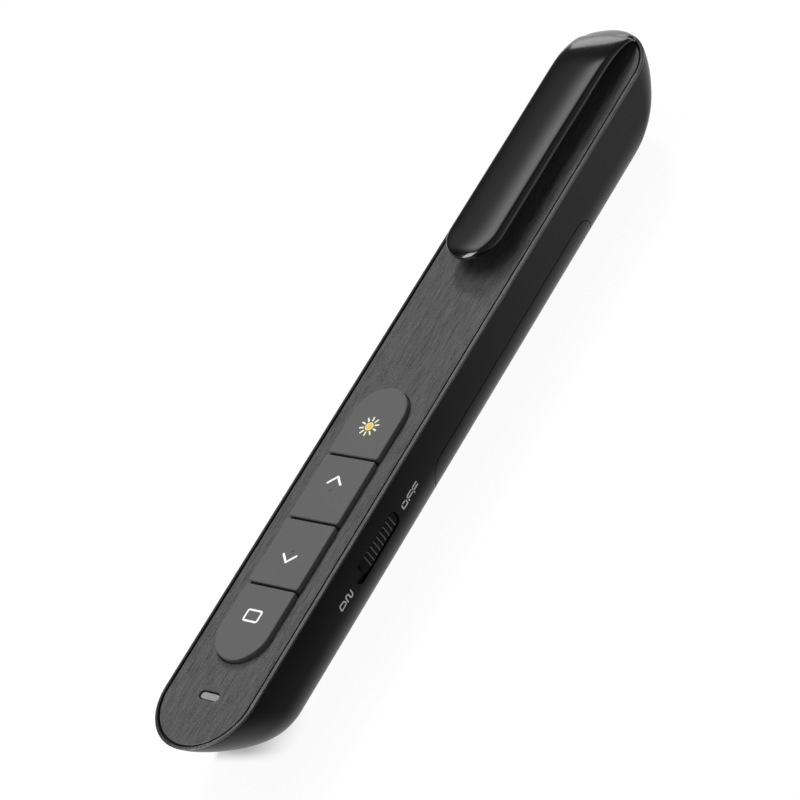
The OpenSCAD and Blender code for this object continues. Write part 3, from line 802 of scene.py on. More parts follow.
def brushed(name, base, roughness, specular=0.5, metallic=0.0):
    """Surface brushed lengthwise, with fine streaks and a speckle over them."""
    material, tree, shader, where = new_material(name, base, roughness, specular, metallic)
    streaks = noise(tree, where, scale=5200, detail=4, stretch=(1, 0.055, 1))
    broad = noise(tree, where, scale=900, stretch=(1, 0.06, 1))
    speckle = noise(tree, where, scale=6500, detail=2, stretch=(1, 0.6, 1))
    mixed = streaks * 0.45 + broad * 0.15 + speckle * 0.4
    low, contrast = 0.36, 3.6
    tint(tree, shader, base, (mixed - low) * contrast, darkest=0.4, lightest=1.6)
    vary_gloss(tree, shader, streaks, roughness, spread=0.2)
    bump(tree, shader, mixed, 0.014 * MM, strength=0.7)
    return material


def glossy(name, base, roughness=0.14, specular=0.5):
    """Polished plastic with a faint waviness and a few hairline marks."""
    material, tree, shader, where = new_material(name, base, roughness, specular)
    waves = noise(tree, where, scale=160, detail=2)
    marks = noise(tree, where, scale=2600, detail=2, stretch=(1, 0.1, 1))
    tint(tree, shader, base, marks, darkest=0.85, lightest=1.2)
    vary_gloss(tree, shader, marks, roughness, spread=0.05)
    bump(tree, shader, waves, 0.03 * MM, strength=0.12)
    return material


def plated(name, base, roughness=0.22):
    """Bright metal with fine drawing lines."""
    material, tree, shader, where = new_material(name, base, roughness, metallic=1.0)
    lines = noise(tree, where, scale=2400, stretch=(1, 0.08, 0.6))
    tint(tree, shader, base, lines, darkest=0.86, lightest=1.08)
    vary_gloss(tree, shader, lines, roughness, spread=0.16)
    bump(tree, shader, lines, 0.008 * MM, strength=0.4)
    return material


def printed(name, base):
    """Screen-printed ink, a little uneven at its grain."""
    material, tree, shader, where = new_material(name, base, roughness=0.5, specular=0.3)
    grain = noise(tree, where, scale=5200)
    tint(tree, shader, base, grain, darkest=0.93, lightest=1.07)
    bump(tree, shader, grain, 0.006 * MM, strength=0.4)
    return material


def clear_red(name, base):
    """Clear red window, a little uneven in its depth of colour."""
    material, tree, shader, where = new_material(name, base, roughness=0.06)
    shader.inputs["Transmission Weight"].default_value = 0.85
    shader.inputs["IOR"].default_value = 1.49
    haze = noise(tree, where, scale=700, detail=2)
    tint(tree, shader, base, haze, darkest=0.85, lightest=1.1)
    bump(tree, shader, haze, 0.01 * MM, strength=0.1)
    return material


def milky_window(name, base):
    """Milky plastic that light shines through, faintly clouded."""
    material, tree, shader, where = new_material(name, base, roughness=0.3, specular=0.4)
    shader.inputs["Subsurface Weight"].default_value = 0.3
    shader.inputs["Subsurface Scale"].default_value = 0.6 * MM
    cloud = noise(tree, where, scale=800, detail=2)
    tint(tree, shader, base, cloud, darkest=0.9, lightest=1.1)
    bump(tree, shader, cloud, 0.01 * MM, strength=0.3)
    return material


def circuit(name, base):
    """Green solder mask over copper tracks and pads."""
    material, tree, shader, where = new_material(name, base, roughness=0.35)
    waves = add_node(tree, "ShaderNodeTexWave", {
        "Vector": where, "Scale": 160.0, "Distortion": 3.0, "Detail Scale": 0.6},
        bands_direction="X")
    cells = add_node(tree, "ShaderNodeTexVoronoi", {"Vector": where, "Scale": 420.0},
                     distance="CHEBYCHEV")
    track_level, pad_size = 0.62, 0.3
    tracks = Number(tree, waves.outputs["Fac"]).above(track_level)
    pads = (pad_size - Number(tree, cells.outputs["Distance"])).above(0)
    copper = (tracks + pads).at_most(1)
    tint(tree, shader, base, copper, darkest=0.8, lightest=1.9)
    bump(tree, shader, copper, 0.03 * MM, strength=0.7)
    return material


def sleeve(name, base, dark):
    """Shrunk sleeve of the cell: dark from the minus end on, metallic in colour after it."""
    roughness = 0.25
    material, tree, shader, where = new_material(name, base, roughness)
    _, y, _ = coordinates(tree, where)
    grain = noise(tree, where, scale=1500, stretch=(1, 0.3, 1))
    blend_base(tree, shader, y.above(CELL_BAND_Y), dark, base)
    vary_gloss(tree, shader, grain, roughness, spread=0.1)
    bump(tree, shader, grain, 0.01 * MM, strength=0.3)
    return material


# ---- operators ----

class BuildShell(bpy.types.Operator):
    """Shell of the body, with its openings and what it carries inside"""
    bl_idname = "clicker.shell"
    bl_label = "Shell"

    def execute(self, context):
        body = context.scene.clicker_body
        satin = moulded("Shell satin", context.scene.clicker_finish.shell, **SATIN)
        over_z = body.depth + PAST
        shell = body_form("shell", context, 0, satin)
        combine(shell, [body_form("cavity", context, body.wall, satin),
                        door_prism(body, 0, satin)], "DIFFERENCE")
        inside = shell_inside(satin)
        skin = 0.4 * MM               # of the wall, outside everything that reaches into it
        combine(inside, [body_form("inner limit", context, skin, satin)], "INTERSECT")
        combine(shell, [inside], "UNION")

        seat_y, glass_y = GLASS_SEAT_ENDS
        glass_gap = 0.05 * MM
        cutters = [
            rim_space(body, satin),
            stack("recess", lambda g: face_outline(body.width / 2 - body.rim),
                  [(body.depth - body.plate - HAIR, 0), (over_z, 0)], satin),
            stack("frame ledge", lambda g: capsule_outline(CHASSIS_R, *CHASSIS_ENDS),
                  [(CHASSIS_Z - HAIR, 0), (over_z, 0)], satin),
            middle_box("clip socket", CLIP_SOCKET_X, CLIP_SOCKET_ENDS, (CLIP_SOCKET_Z, over_z),
                       satin),
            *slide_slot(body, context.scene.clicker_slide, satin),
            stack("bay", lambda g: slot_outline(-BAY_X, BAY_X, *BAY_ENDS, BAY_CORNER_R),
                  [(-PAST, 0), (BAY_ROOF_Z, 0)], satin),
            rod("magnet seat", MAGNET_R, *MAGNET_ENDS, (0, MAGNET_Y), "Z", satin),
            scoop(satin),
            rod("glass seat", GLASS_R + glass_gap, seat_y, glass_y, (LASER_Z, 0), "Y", satin),
            rod("laser hole", LASER_HOLE_R, seat_y, body.length / 2 + PAST, (LASER_Z, 0), "Y",
                satin),
        ]
        cutters += [rod("screw hole", SCREW_HOLE_R, *SCREW_HOLE_ENDS, spot, "Z", satin, 24)
                    for spot in SCREWS]
        combine(shell, cutters, "DIFFERENCE")
        soften(shell, 0.09 * MM)
        finish(shell, "body", ["body_shell"])
        return {"FINISHED"}


def rim_space(body, material):
    """Everything over the seam between the shell and the rim."""
    return middle_box("rim space", body.width, (-body.length, body.length),
                      (body.depth - body.rim_height, body.depth + PAST), material)


class BuildRim(bpy.types.Operator):
    """Brushed rim round the faceplate"""
    bl_idname = "clicker.rim"
    bl_label = "Rim"

    def execute(self, context):
        body = context.scene.clicker_body
        grey = brushed("Rim grey", context.scene.clicker_finish.rim,
                       roughness=0.36, specular=0.4, metallic=0.7)
        radius = body.width / 2 - body.rim
        rim = body_form("face_rim_brushed", context, 0, grey)
        combine(rim, [rim_space(body, grey)], "INTERSECT")
        recess = stack("recess", lambda g: face_outline(radius + g),
                       flared_top(body.depth - body.plate, body.depth, 0.05 * MM), grey)
        combine(rim, [recess], "DIFFERENCE")
        soften(rim, 0.05 * MM, 50)
        finish(rim, "body", ["face_rim"])
        return {"FINISHED"}


def body_form(name, context, inset, material):
    """The body's outer form, or the same form made smaller all round by inset."""
    body = context.scene.clicker_body
    form = new_piece(name, [(0, 0, 0)], [], material)
    share = 1 if inset == 0 else 0.1      # the rim's slope is all but left out inside
    return run_tree(form, body_form_tree, {
        "Half Width": body.width / 2 - inset, "Half Length": body.length / 2 - inset,
        "Depth": body.depth - inset, "Corner": body.corner - inset,
        "Tail Slope": body.tail_rake, "Nose Slope": body.nose_rake,
        "Rim Drop": body.rim_drop * share, "Rim Slope": body.rim_slope * share,
        "Top": body.depth, "Material": material, **FORM_LEVELS})


def door_prism(body, grow, material):
    """Block with the door's side outline, made larger all round by grow."""
    r = body.door_corner + grow
    sharp = 0.01 * MM
    outline = rounded_box_outline(
        (-body.door_tail - grow, -PAST), (body.door_nose + grow, body.door_seam + grow),
        (sharp, sharp, r, r), 12)
    return stack("door outline", lambda g: outline, [(-body.width, 0), (body.width, 0)],
                 material, "X")


def slide_slot(body, slide, material):
    """Cutters of the power slide's slot: a shallow recess with round ends, and in its
    floor the slit for the neck of the slide."""
    side_gap, end_gap = 0.08 * MM, 0.12 * MM
    half = slide.height / 2 + side_gap
    y1 = KNOB_NOSE_Y + end_gap
    y0 = KNOB_NOSE_Y - slide.length - slide.travel - end_gap
    wall_x = body.width / 2
    recess = stack("slot", lambda g: slot_outline(y0, y1, SLOT_Z - half, SLOT_Z + half, SLOT_R),
                   [(wall_x - SLOT_DEPTH, 0), (wall_x + PAST, 0)], material, "X")
    middle = KNOB_NOSE_Y - slide.length / 2
    slit_depth = 2.2 * MM
    reach, rise = (measure + NECK_GAP for measure in NECK_HALF)
    slit = box("slit", (wall_x - slit_depth, middle - reach - slide.travel, SLOT_Z - rise),
               (wall_x - SLOT_DEPTH + NECK_LAP, middle + reach, SLOT_Z + rise), material)
    return [recess, slit]


def scoop(material):
    """Ball that cuts the finger scoop at the end of the receiver bay."""
    piece = new_piece("scoop", [(0, 0, 0)], [], material)
    ball = bmesh.new()
    bmesh.ops.create_uvsphere(ball, u_segments=64, v_segments=48, radius=SCOOP_R)
    bmesh.ops.translate(ball, verts=ball.verts, vec=SCOOP_CENTRE)
    ball.to_mesh(piece.data)
    ball.free()
    piece.data.materials.append(material)
    return piece


def shell_inside(material):
    """Bosses, bulkheads, ribs and seats inside the shell, as one solid. It reaches into
    the wall, and the inner limit trims it."""
    wide, narrow = 9.1 * MM, 6 * MM
    foot_z, low_z, head_z = 2.6 * MM, 7.3 * MM, 10.6 * MM     # levels of the bulkheads
    rib_z, rib_t = 9.6 * MM, 1.2 * MM
    lap, cell_gap = 0.01 * MM, 0.2 * MM
    parts = []
    for y in BULKHEADS:
        ends = (y, y + BULKHEAD_T)
        parts.append(middle_box("bulkhead", wide, ends, (low_z, head_z)))
        parts.append(middle_box("bulkhead", narrow, ends, (foot_z, low_z + lap)))
    for y in CELL_RIBS:
        rib = middle_box("rib", wide, (y, y + rib_t), (low_z, rib_z))
        cell = rod("cell", CELL_R + cell_gap, y - PAST, y + 3 * PAST, (CELL_Z, 0), "Y")
        parts.append(combine(rib, [cell], "DIFFERENCE"))
    top = CHASSIS_Z - 0.05 * MM
    for spot, foot in zip(SCREWS, BOSS_FEET):
        parts.append(rod("boss", BOSS_R, foot, top, spot, "Z"))
    for side in (-1, 1):
        parts.append(side_box("boss rib", side, (SCREWS[2][0], wide), BOSS_RIB_ENDS,
                              (BOSS_FEET[2], top)))
        parts.append(side_box("board seat", side, (BOARD_SEAT_X, wide), BOARD_SEAT_ENDS,
                              (BOARD_Z - BOARD_SEAT_T, BOARD_Z)))
    bay_wall = 0.8 * MM
    floor_z = 0.5 * MM
    tail_y, nose_y = BAY_ENDS
    parts.append(middle_box("bay box", BAY_X + bay_wall, (tail_y - bay_wall, nose_y + bay_wall),
                            (floor_z, BOARD_Z)))
    scoop_x, scoop_l, scoop_z = 5.6 * MM, 6 * MM, 3.6 * MM
    parts.append(middle_box("scoop floor", scoop_x, (nose_y, nose_y + scoop_l),
                            (floor_z, scoop_z)))
    seat_wall, seat_y, seat_end = 0.9 * MM, GLASS_Y - 0.6 * MM, 73 * MM
    parts.append(rod("glass seat", GLASS_R + seat_wall, seat_y, seat_end, (LASER_Z, 0), "Y"))
    for part in parts:
        part.data.materials.append(material)
    return combine(parts[0], parts[1:], "UNION")


class BuildDoor(bpy.types.Operator):
    """Battery door in the back, with its snap lips and thumb grooves"""
    bl_idname = "clicker.door"
    bl_label = "Battery door"

    def execute(self, context):
        body = context.scene.clicker_body
        satin = moulded("Door satin", context.scene.clicker_finish.shell, **SATIN)
        door = body_form("door", context, 0, satin)
        combine(door, [body_form("cavity", context, body.wall, satin)], "DIFFERENCE")
        combine(door, [door_prism(body, -body.door_gap, satin)], "INTERSECT")
        steps = ((8.2 * MM, 9 * MM), (8.9 * MM, 6.7 * MM))    # reach and top of each step
        lip_x, lip_ends, lip_z = 7.3 * MM, (13 * MM, 25 * MM), 5.4 * MM
        lips = [side_box("lip", side, (lip_x, reach), lip_ends, (lip_z, top), satin)
                for side in (-1, 1) for reach, top in steps]
        combine(door, lips, "UNION")
        groove_r, groove_x, groove_z = 0.5 * MM, 3 * MM, -0.25 * MM
        grooves, first_y, pitch = 5, -body.door_tail + 4.3 * MM, 1.4 * MM
        groove = rod("groove", groove_r, -groove_x, groove_x, (0, groove_z), "X", satin, 24)
        run_tree(groove, row_tree, {
            "Count": grooves, "Start": (0, first_y, 0), "Step": (0, pitch, 0),
            "Material": satin})
        combine(door, [groove], "DIFFERENCE")
        soften(door, 0.16 * MM)
        finish(door, "door", ["battery_door"])
        return {"FINISHED"}


class BuildFaceplate(bpy.types.Operator):
    """Brushed faceplate with the openings for the keys, the light and the clip"""
    bl_idname = "clicker.faceplate"
    bl_label = "Faceplate"

    def execute(self, context):
        body = context.scene.clicker_body
        keys = context.scene.clicker_keys
        grey = brushed("Brushed grey", context.scene.clicker_finish.plate,
                       roughness=0.42, specular=0.3, metallic=0.3)
        sunk, play, edge = 0.1 * MM, 0.17 * MM, 0.1 * MM
        top = body.depth - sunk
        low = body.depth - body.plate
        radius = body.width / 2 - body.rim - body.plate_gap - play
        plate = stack("faceplate_brushed", lambda g: face_outline(radius + g),
                      [(low, 0)] + rounded_top(top, edge, 3), grey)
        key_r = keys.width / 2 + keys.clearance
        span = keys.group / 2 - keys.width / 2
        flare = flared_top(low - PAST, top, edge)
        opening = stack("key opening", lambda g: capsule_outline(
            key_r + g, KEY_MID_Y - span, KEY_MID_Y + span, 32), flare, grey)
        window = stack("light opening", lambda g: light_outline(play + g), flare, grey)
        notch_x, notch_ends = 3.2 * MM, (69.9 * MM, 80 * MM)
        notch = middle_box("clip notch", notch_x, notch_ends, (low - PAST, top + PAST), grey)
        combine(plate, [opening, window, notch], "DIFFERENCE")
        shade(plate, 30)
        finish(plate, "body", ["faceplate"])
        return {"FINISHED"}


def light_outline(grow):
    """Outline of the status light, which lies across the body."""
    x, y = (measure + grow for measure in LIGHT_HALF)
    return slot_outline(-x, x, LIGHT_Y - y, LIGHT_Y + y, y)


class BuildStatusLight(bpy.types.Operator):
    """Milky window of the status light"""
    bl_idname = "clicker.status_light"
    bl_label = "Status light"

    def execute(self, context):
        milky = milky_window("Milky window", context.scene.clicker_finish.lens)
        top = context.scene.clicker_body.depth - 0.35 * MM
        foot_z, flange_z, neck_z = 9.6 * MM, 10.95 * MM, 11.65 * MM
        flange = 0.6 * MM
        window = stack("light_window", light_outline, [
            (foot_z, 0), (flange_z, 0), (flange_z, flange), (neck_z, flange), (neck_z, 0)]
            + rounded_top(top, 0.16 * MM, 4), milky)
        shade(window)
        finish(window, "body", ["status_window"])
        return {"FINISHED"}


def key_outline(keys, i, grow, side=0, nose_limit=None):
    """Outline of a key, counted from the nose. The keys at the ends of the group have
    one round end. side widens it across only."""
    half = keys.width / 2
    ends = keys.group / 2
    edges = [KEY_MID_Y + y for y in (ends, keys.pitch, 0, -keys.pitch, -ends)]
    y1 = edges[i] - (0 if i == 0 else keys.gap / 2)
    y0 = edges[i + 1] + (0 if i == 3 else keys.gap / 2)
    if nose_limit is not None:
        y1 = min(y1, nose_limit)
    low_r = half if i == 3 else KEY_CORNER_R
    high_r = half if i == 0 else KEY_CORNER_R
    radii = [max(r + grow, 0.05 * MM) for r in (low_r, low_r, high_r, high_r)]
    return rounded_box_outline((-half - grow - side, y0 - grow), (half + grow + side, y1 + grow),
                               radii, 14)


class BuildKeys(bpy.types.Operator):
    """The four keys: laser, page up, page down and black screen"""
    bl_idname = "clicker.keys"
    bl_label = "Keys"

    def execute(self, context):
        keys = context.scene.clicker_keys
        top = context.scene.clicker_body.depth + keys.raised
        grey = moulded("Key grey", context.scene.clicker_finish.keys, roughness=0.55,
                       specular=0.25, grain=4200, depth=0.01 * MM, varied=0.03)
        names = ("laser", "page_up", "page_down", "black_screen")
        bodies = ("laser_key", "up_key", "down_key", "black_key")
        posts = (-13 * MM, KEY_MID_Y + keys.pitch / 2, KEY_MID_Y - keys.pitch / 2, -51 * MM)
        flange_top = KEY_SKIRT_Z + KEY_FLANGE_T
        lap, flange_lap = 0.1 * MM, 0.05 * MM
        for i, (name, body, post_y) in enumerate(zip(names, bodies, posts)):
            def outline(grow, i=i):
                return key_outline(keys, i, grow)

            def flange(grow, i=i):
                return key_outline(keys, i, 0, KEY_FLANGE, KEY_FLANGE_NOSE_Y)
            low = flange_top - flange_lap if i == 0 else KEY_SKIRT_Z    # clear of the cell
            key = stack("key_" + name, outline, [(low, 0)] + rounded_top(top, keys.edge, 6), grey)
            added = [stack("skirt", flange, [(KEY_SKIRT_Z, 0), (flange_top, 0)], grey),
                     rod("post", KEY_POST_R, KEY_POST_Z, KEY_SKIRT_Z + lap, (0, post_y), "Z",
                         grey, 24)]
            if i in NUBS:
                added.append(stack("nub", lambda g, i=i: circle(NUB_R + g, NUB_X, NUBS[i]), [
                    (top - lap, 0)] + rounded_top(top + NUB_H, NUB_H, 4), grey))
            combine(key, added, "UNION")
            shade(key, 50)
            finish(key, body, [name + "_button"])
        return {"FINISHED"}


class BuildSigns(bpy.types.Operator):
    """Printed signs on the keys: sun, up, down and screen"""
    bl_idname = "clicker.signs"
    bl_label = "Key signs"

    def execute(self, context):
        keys = context.scene.clicker_keys
        colours = context.scene.clicker_finish
        top = context.scene.clicker_body.depth + keys.raised
        white = printed("White print", colours.print)
        pale = printed("Pale yellow print", colours.rays)
        yellow = printed("Yellow print", colours.sun)

        ray = stroke("sun_rays", [(0, end) for end in RAY_ENDS], RAY_W, False,
                     lambda x, y, h: (x, y, h), pale)
        run_tree(ray, ring_tree, {"Count": keys.rays, "Centre": (SIGN_X, SUN_Y, top),
                                  "Material": pale})
        finish(ray, "laser_key")
        for name, radius, over, ink in (("sun_disc", SUN_R, PRINT_T, yellow),
                                        ("sun_rim", SUN_RIM_R, 0.6 * PRINT_T, pale)):
            finish(rod(name, radius, top - PRINT_T, top + over, (SIGN_X, SUN_Y), "Z", ink),
                   "laser_key")
        for name, body, tip_y, end_y in ARROWS:
            points = [(SIGN_X - ARROW_X, end_y), (SIGN_X, tip_y), (SIGN_X + ARROW_X, end_y)]
            finish(stroke(name, points, ARROW_W, False, lambda x, y, h: (x, y, top + h), white),
                   body)
        finish(screen_sign(top, white), "black_key")
        return {"FINISHED"}


def screen_sign(top, material):
    """Rounded frame of the screen sign."""
    def outline(grow):
        x, y = (measure + grow for measure in SCREEN_HALF)
        return slot_outline(SIGN_X - x, SIGN_X + x, SCREEN_Y - y, SCREEN_Y + y, SCREEN_R + grow)
    sheet = stack("sign_screen", outline, [(top - PRINT_T, 0), (top + PRINT_T, 0)], material)
    hole = stack("hole", outline, [(top - PAST, -SCREEN_W), (top + PAST, -SCREEN_W)], material)
    return combine(sheet, [hole], "DIFFERENCE")


class BuildLetters(bpy.types.Operator):
    """ON and OFF beside the power slide"""
    bl_idname = "clicker.letters"
    bl_label = "ON and OFF"

    def execute(self, context):
        silver = printed("Silver print", context.scene.clicker_finish.letters)
        wall_x = context.scene.clicker_body.width / 2
        sheet = 0.4                   # thickness of the letters beside that of the key signs
        for word, strokes in WORDS.items():
            lines = [stroke(word, [(u * MM, v * MM) for u, v in points], LETTER_W, closed,
                            lambda u, v, h: (wall_x + sheet * h, u, v), silver)
                     for points, closed in strokes]
            combine(lines[0], lines[1:], "UNION")
            finish(lines[0], "body")
        return {"FINISHED"}


class BuildSlide(bpy.types.Operator):
    """Ribbed thumb slide of the power switch"""
    bl_idname = "clicker.slide"
    bl_label = "Power slide"

    def execute(self, context):
        slide = context.scene.clicker_slide
        wall_x = context.scene.clicker_body.width / 2
        black = moulded("Slide black", context.scene.clicker_finish.slide,
                        roughness=0.24, specular=0.12)
        # the ribs get a lighter black than the knob, a painted highlight along each rib
        rib_highlight_black = moulded("Rib black", context.scene.clicker_finish.ribs, roughness=0.3)
        y1 = KNOB_NOSE_Y
        y0 = y1 - slide.length
        middle = (y0 + y1) / 2
        half = slide.height / 2
        foot_x = wall_x - SLOT_DEPTH
        knob_top = wall_x - KNOB_SUNK
        knob_gap, knob_edge = 0.06 * MM, 0.12 * MM
        knob = stack("slide_knob", lambda g: slot_outline(
            y0 - g, y1 + g, SLOT_Z - half - g, SLOT_Z + half + g, KNOB_R + g),
            [(foot_x + knob_gap, 0)] + rounded_top(knob_top, knob_edge, 4), black, "X")
        reach, rise = NECK_HALF
        neck_x = 8.3 * MM
        neck = box("neck", (neck_x, middle - reach, SLOT_Z - rise),
                   (foot_x + NECK_LAP, middle + reach, SLOT_Z + rise), black)
        cover = slide.travel + 0.6 * MM
        cover_z = 2.05 * MM
        inner_x, outer_x = 7.75 * MM, 8.35 * MM
        carriage = box("carriage", (inner_x, y0 - cover, SLOT_Z - cover_z),
                       (outer_x, y1 + cover, SLOT_Z + cover_z), black)
        # two prongs reach in over the lever of the switch
        prong_x0, prong_x1, prong_half_w = 7.3 * MM, 7.76 * MM, 0.25 * MM
        prong_z0, prong_z1 = 6.5 * MM, 7.2 * MM
        prongs = [box("prong", (prong_x0, y - prong_half_w, prong_z0),
                      (prong_x1, y + prong_half_w, prong_z1), black)
                  for y in (-30.6 * MM, -28.6 * MM)]
        combine(knob, [carriage, neck] + prongs, "UNION")
        soften(knob, 0.06 * MM, 50)

        margin, plain_l = 0.2 * MM, 2.3 * MM      # of the knob, over the ribs and before them
        ribs = loft("slide_ribs", rib_rings(half - margin), rib_highlight_black)
        pitch = (slide.length - plain_l) / slide.ribs
        first = RIB_MID_Y - pitch * (slide.ribs - 1) / 2
        run_tree(ribs, row_tree, {
            "Count": slide.ribs, "Start": (knob_top, first, SLOT_Z),
            "Step": (0, pitch, 0), "Material": rib_highlight_black})
        shade(ribs, 60)
        finish(knob, "slider", ["power_slider"])
        finish(ribs, "slider")
        return {"FINISHED"}


def rib_rings(half_length, rings=12, steps=8):
    """Rings of a rib, a half-round bar that stands upright and droops at its ends."""
    bar = []
    for i in range(rings + 1):
        t = -1 + 2 * i / rings
        droop = math.sqrt(max(0.02, 1 - abs(t) ** 4))
        bar.append([(RIB_H * droop * math.sin(a) - HAIR, RIB_HALF_W * math.cos(a), t * half_length)
                    for a in (math.pi * k / steps for k in range(steps + 1))])
    return bar


def corner(y, y0, y1, curve, ease=0.0):
    """Falls from 1 at y0 to 0 at y1 along a rounded corner, whose start is eased over
    that length."""
    eased = ((y - y0) + math.hypot(y - y0, ease)) / 2
    whole = ((y1 - y0) + math.hypot(y1 - y0, ease)) / 2
    u = max(0, min(1, eased / whole))
    return (1 - u ** curve) ** (1 / curve)


def between(low, value, high):
    """The value, kept between two limits."""
    return max(low, min(high, value))


def clip_half(y, clip):
    """Half the clip's width at y: round at the free end, a little wider towards the nose,
    whose end is as round as the body's."""
    r = clip.width / 2
    if y < clip.tip + r:
        return math.sqrt(max(0, r * r - (clip.tip + r - y) ** 2))
    flare, flare_y, flare_l = 0.15 * MM, 46 * MM, 18 * MM
    side = r + flare * between(0, (y - flare_y) / flare_l, 1)
    nose = math.sqrt(max(0, CLIP_NOSE_R ** 2 - max(0, y - END_Y) ** 2)) / side
    blend = 14                    # how sharply the side turns into the round nose
    return side * nose / (1 + nose ** blend) ** (1 / blend)


def clip_ring(y, clip, body, steps=72, lower_steps=4):
    """One ring of the clip: flat underside, rounded lower edges, arched top."""
    w = max(HAIR, clip_half(y, clip))
    seat = body.depth + CLIP_LIFT
    under = body.depth + clip.gap
    tip_l = 2.2 * MM              # length over which the free end thins
    round_in = between(0, (clip.tip + tip_l - y) / tip_l, 1)
    tip_round = math.sqrt(1 - round_in * round_in)
    low = seat + (under - seat) * corner(y, CLIP_LOW_Y, CLIP_FOOT_Y, CLIP_LOW_CURVE)
    drop = corner(y, CLIP_BEND_Y, CLIP_END_Y, CLIP_CURVE, CLIP_EASE)
    nose_top = seat + CLIP_NOSE_T
    top = nose_top + (under + clip.edge - nose_top) * drop
    tip_t = 0.35                  # share of the thickness that the tip keeps
    edge = low + max(0.1 * MM, top - low) * (tip_t + (1 - tip_t) * tip_round)
    rise = clip.crown * drop * tip_round * min(1, w / (clip.width / 2))
    soft = (0.75 - 0.4 * drop) * (edge - low)      # height of the rounded shoulders
    b = min(0.2 * MM, 0.35 * (edge - soft - low), 0.5 * w)
    left = []
    for i in range(lower_steps + 1):
        a = math.radians(90 * i / lower_steps)
        left.append((-w + b - b * math.sin(a), y, low + b - b * math.cos(a)))
    right = [(-x, y, z) for x, _, z in left]
    arch = []
    for i in range(steps + 1):
        a = math.pi * i / steps
        lift = math.sin(a) ** (1 - 0.4 * drop)
        z = edge - soft * (1 - lift) + rise * lift
        arch.append((w * math.cos(a) * (1 - SIDE_LEAN * (z - low - b)), y, z))
    return left[::-1] + right + arch


def clip_places(clip):
    """Places of the clip's rings along the body, from its nose end to its free end. They
    lie close together where it curves."""
    bend_l = 8 * MM
    nose_y = CLIP_BEND_Y - bend_l
    nose_l = CLIP_END_Y - 0.004 * MM - nose_y
    places = [nose_y + nose_l * math.sin(math.radians(a * 1.5)) for a in range(60, -1, -1)]
    places += [y * MM for y in range(55, 27, -3)]
    tip_y = clip.tip + HAIR
    r = clip.width / 2
    return places + [tip_y + r * (1 - math.cos(math.radians(a))) for a in range(90, -1, -3)]


class BuildClip(bpy.types.Operator):
    """Gloss black pocket clip over the nose half of the face"""
    bl_idname = "clicker.clip"
    bl_label = "Pocket clip"

    def execute(self, context):
        clip = context.scene.clicker_clip
        body = context.scene.clicker_body
        black = glossy("Clip gloss", context.scene.clicker_finish.clip)
        strap = loft("clip_strap", [clip_ring(y, clip, body) for y in clip_places(clip)], black)
        root_y, root_z = CLIP_ROOT
        neck = middle_box("neck", CLIP_NECK_X, (root_y - CLIP_NECK_T / 2, root_y + CLIP_NECK_T / 2),
                          (root_z, CLIP_NECK_Z), black)
        bead = rod("bead", CLIP_BEAD_R, -CLIP_NECK_X, CLIP_NECK_X, (root_y, root_z), "X", black, 32)
        combine(strap, [neck, bead], "UNION")
        shade(strap, 50)
        finish(strap, "clip", ["pocket_clip"])
        return {"FINISHED"}


class BuildReceiver(bpy.types.Operator):
    """Plug-in receiver: its metal plug, tongue, contacts and cap"""
    bl_idname = "clicker.receiver"
    bl_label = "Receiver"

    def execute(self, context):
        bright = plated("Plug metal", (0.62, 0.62, 0.63), 0.24)
        gold = plated("Contact gold", (0.75, 0.52, 0.2), 0.25)
        white = moulded("Tongue white", (0.7, 0.7, 0.67), 0.5)
        black = moulded("Receiver black", context.scene.clicker_finish.shell, 0.42, 0.2)
        y0, y1 = PLUG_ENDS
        low_z, high_z = PLUG_ZS
        wall_t = 0.35 * MM
        inner_y = y1 - 0.6 * MM

        def section(grow):
            return slot_outline(low_z - grow, high_z + grow, -PLUG_X - grow, PLUG_X + grow,
                                PLUG_R + grow)
        plug = stack("receiver_plug_metal", section, [(y0, 0), (y1, 0)], bright, "Y")
        hollow = stack("hollow", section, [(y0 - PAST, -wall_t), (inner_y, -wall_t)], bright, "Y")
        window_x, window_y0, window_y1 = 1.1 * MM, y0 + 4.2 * MM, y0 + 6.4 * MM
        holes = [box("window", (x - window_x, window_y0, low_z - PAST),
                     (x + window_x, window_y1, high_z + PAST), bright)
                 for x in (-2.9 * MM, 2.9 * MM)]
        combine(plug, [hollow] + holes, "DIFFERENCE")
        soften(plug, 0.05 * MM)

        tongue_x, tongue_y = 5.55 * MM, y0 + 0.4 * MM
        tongue_z, tongue_top = 3.7 * MM, 5.6 * MM
        tongue = middle_box("receiver_tongue_white", tongue_x, (tongue_y, inner_y),
                            (tongue_z, tongue_top), white)
        soften(tongue, 0.12 * MM)
        contact_x, contact_ends = 0.5 * MM, (y0 + 1.2 * MM, y0 + 9 * MM)
        proud, sunk = 0.08 * MM, 0.05 * MM
        contact = middle_box("receiver_contacts", contact_x, contact_ends,
                             (tongue_z - proud, tongue_z + sunk), gold)
        row_l, contacts = 7 * MM, 4
        run_tree(contact, row_tree, {
            "Count": contacts, "Start": (-row_l / 2, 0, 0),
            "Step": (row_l / (contacts - 1), 0, 0), "Material": gold})
        shade(contact, 30)

        cap = receiver_cap(context.scene.clicker_body, y1, black)
        finish(plug, "receiver", ["receiver_plug"])
        finish(tongue, "receiver", ["receiver_tongue"])
        finish(contact, "receiver")
        finish(cap, "receiver", ["receiver_cap"])
        return {"FINISHED"}


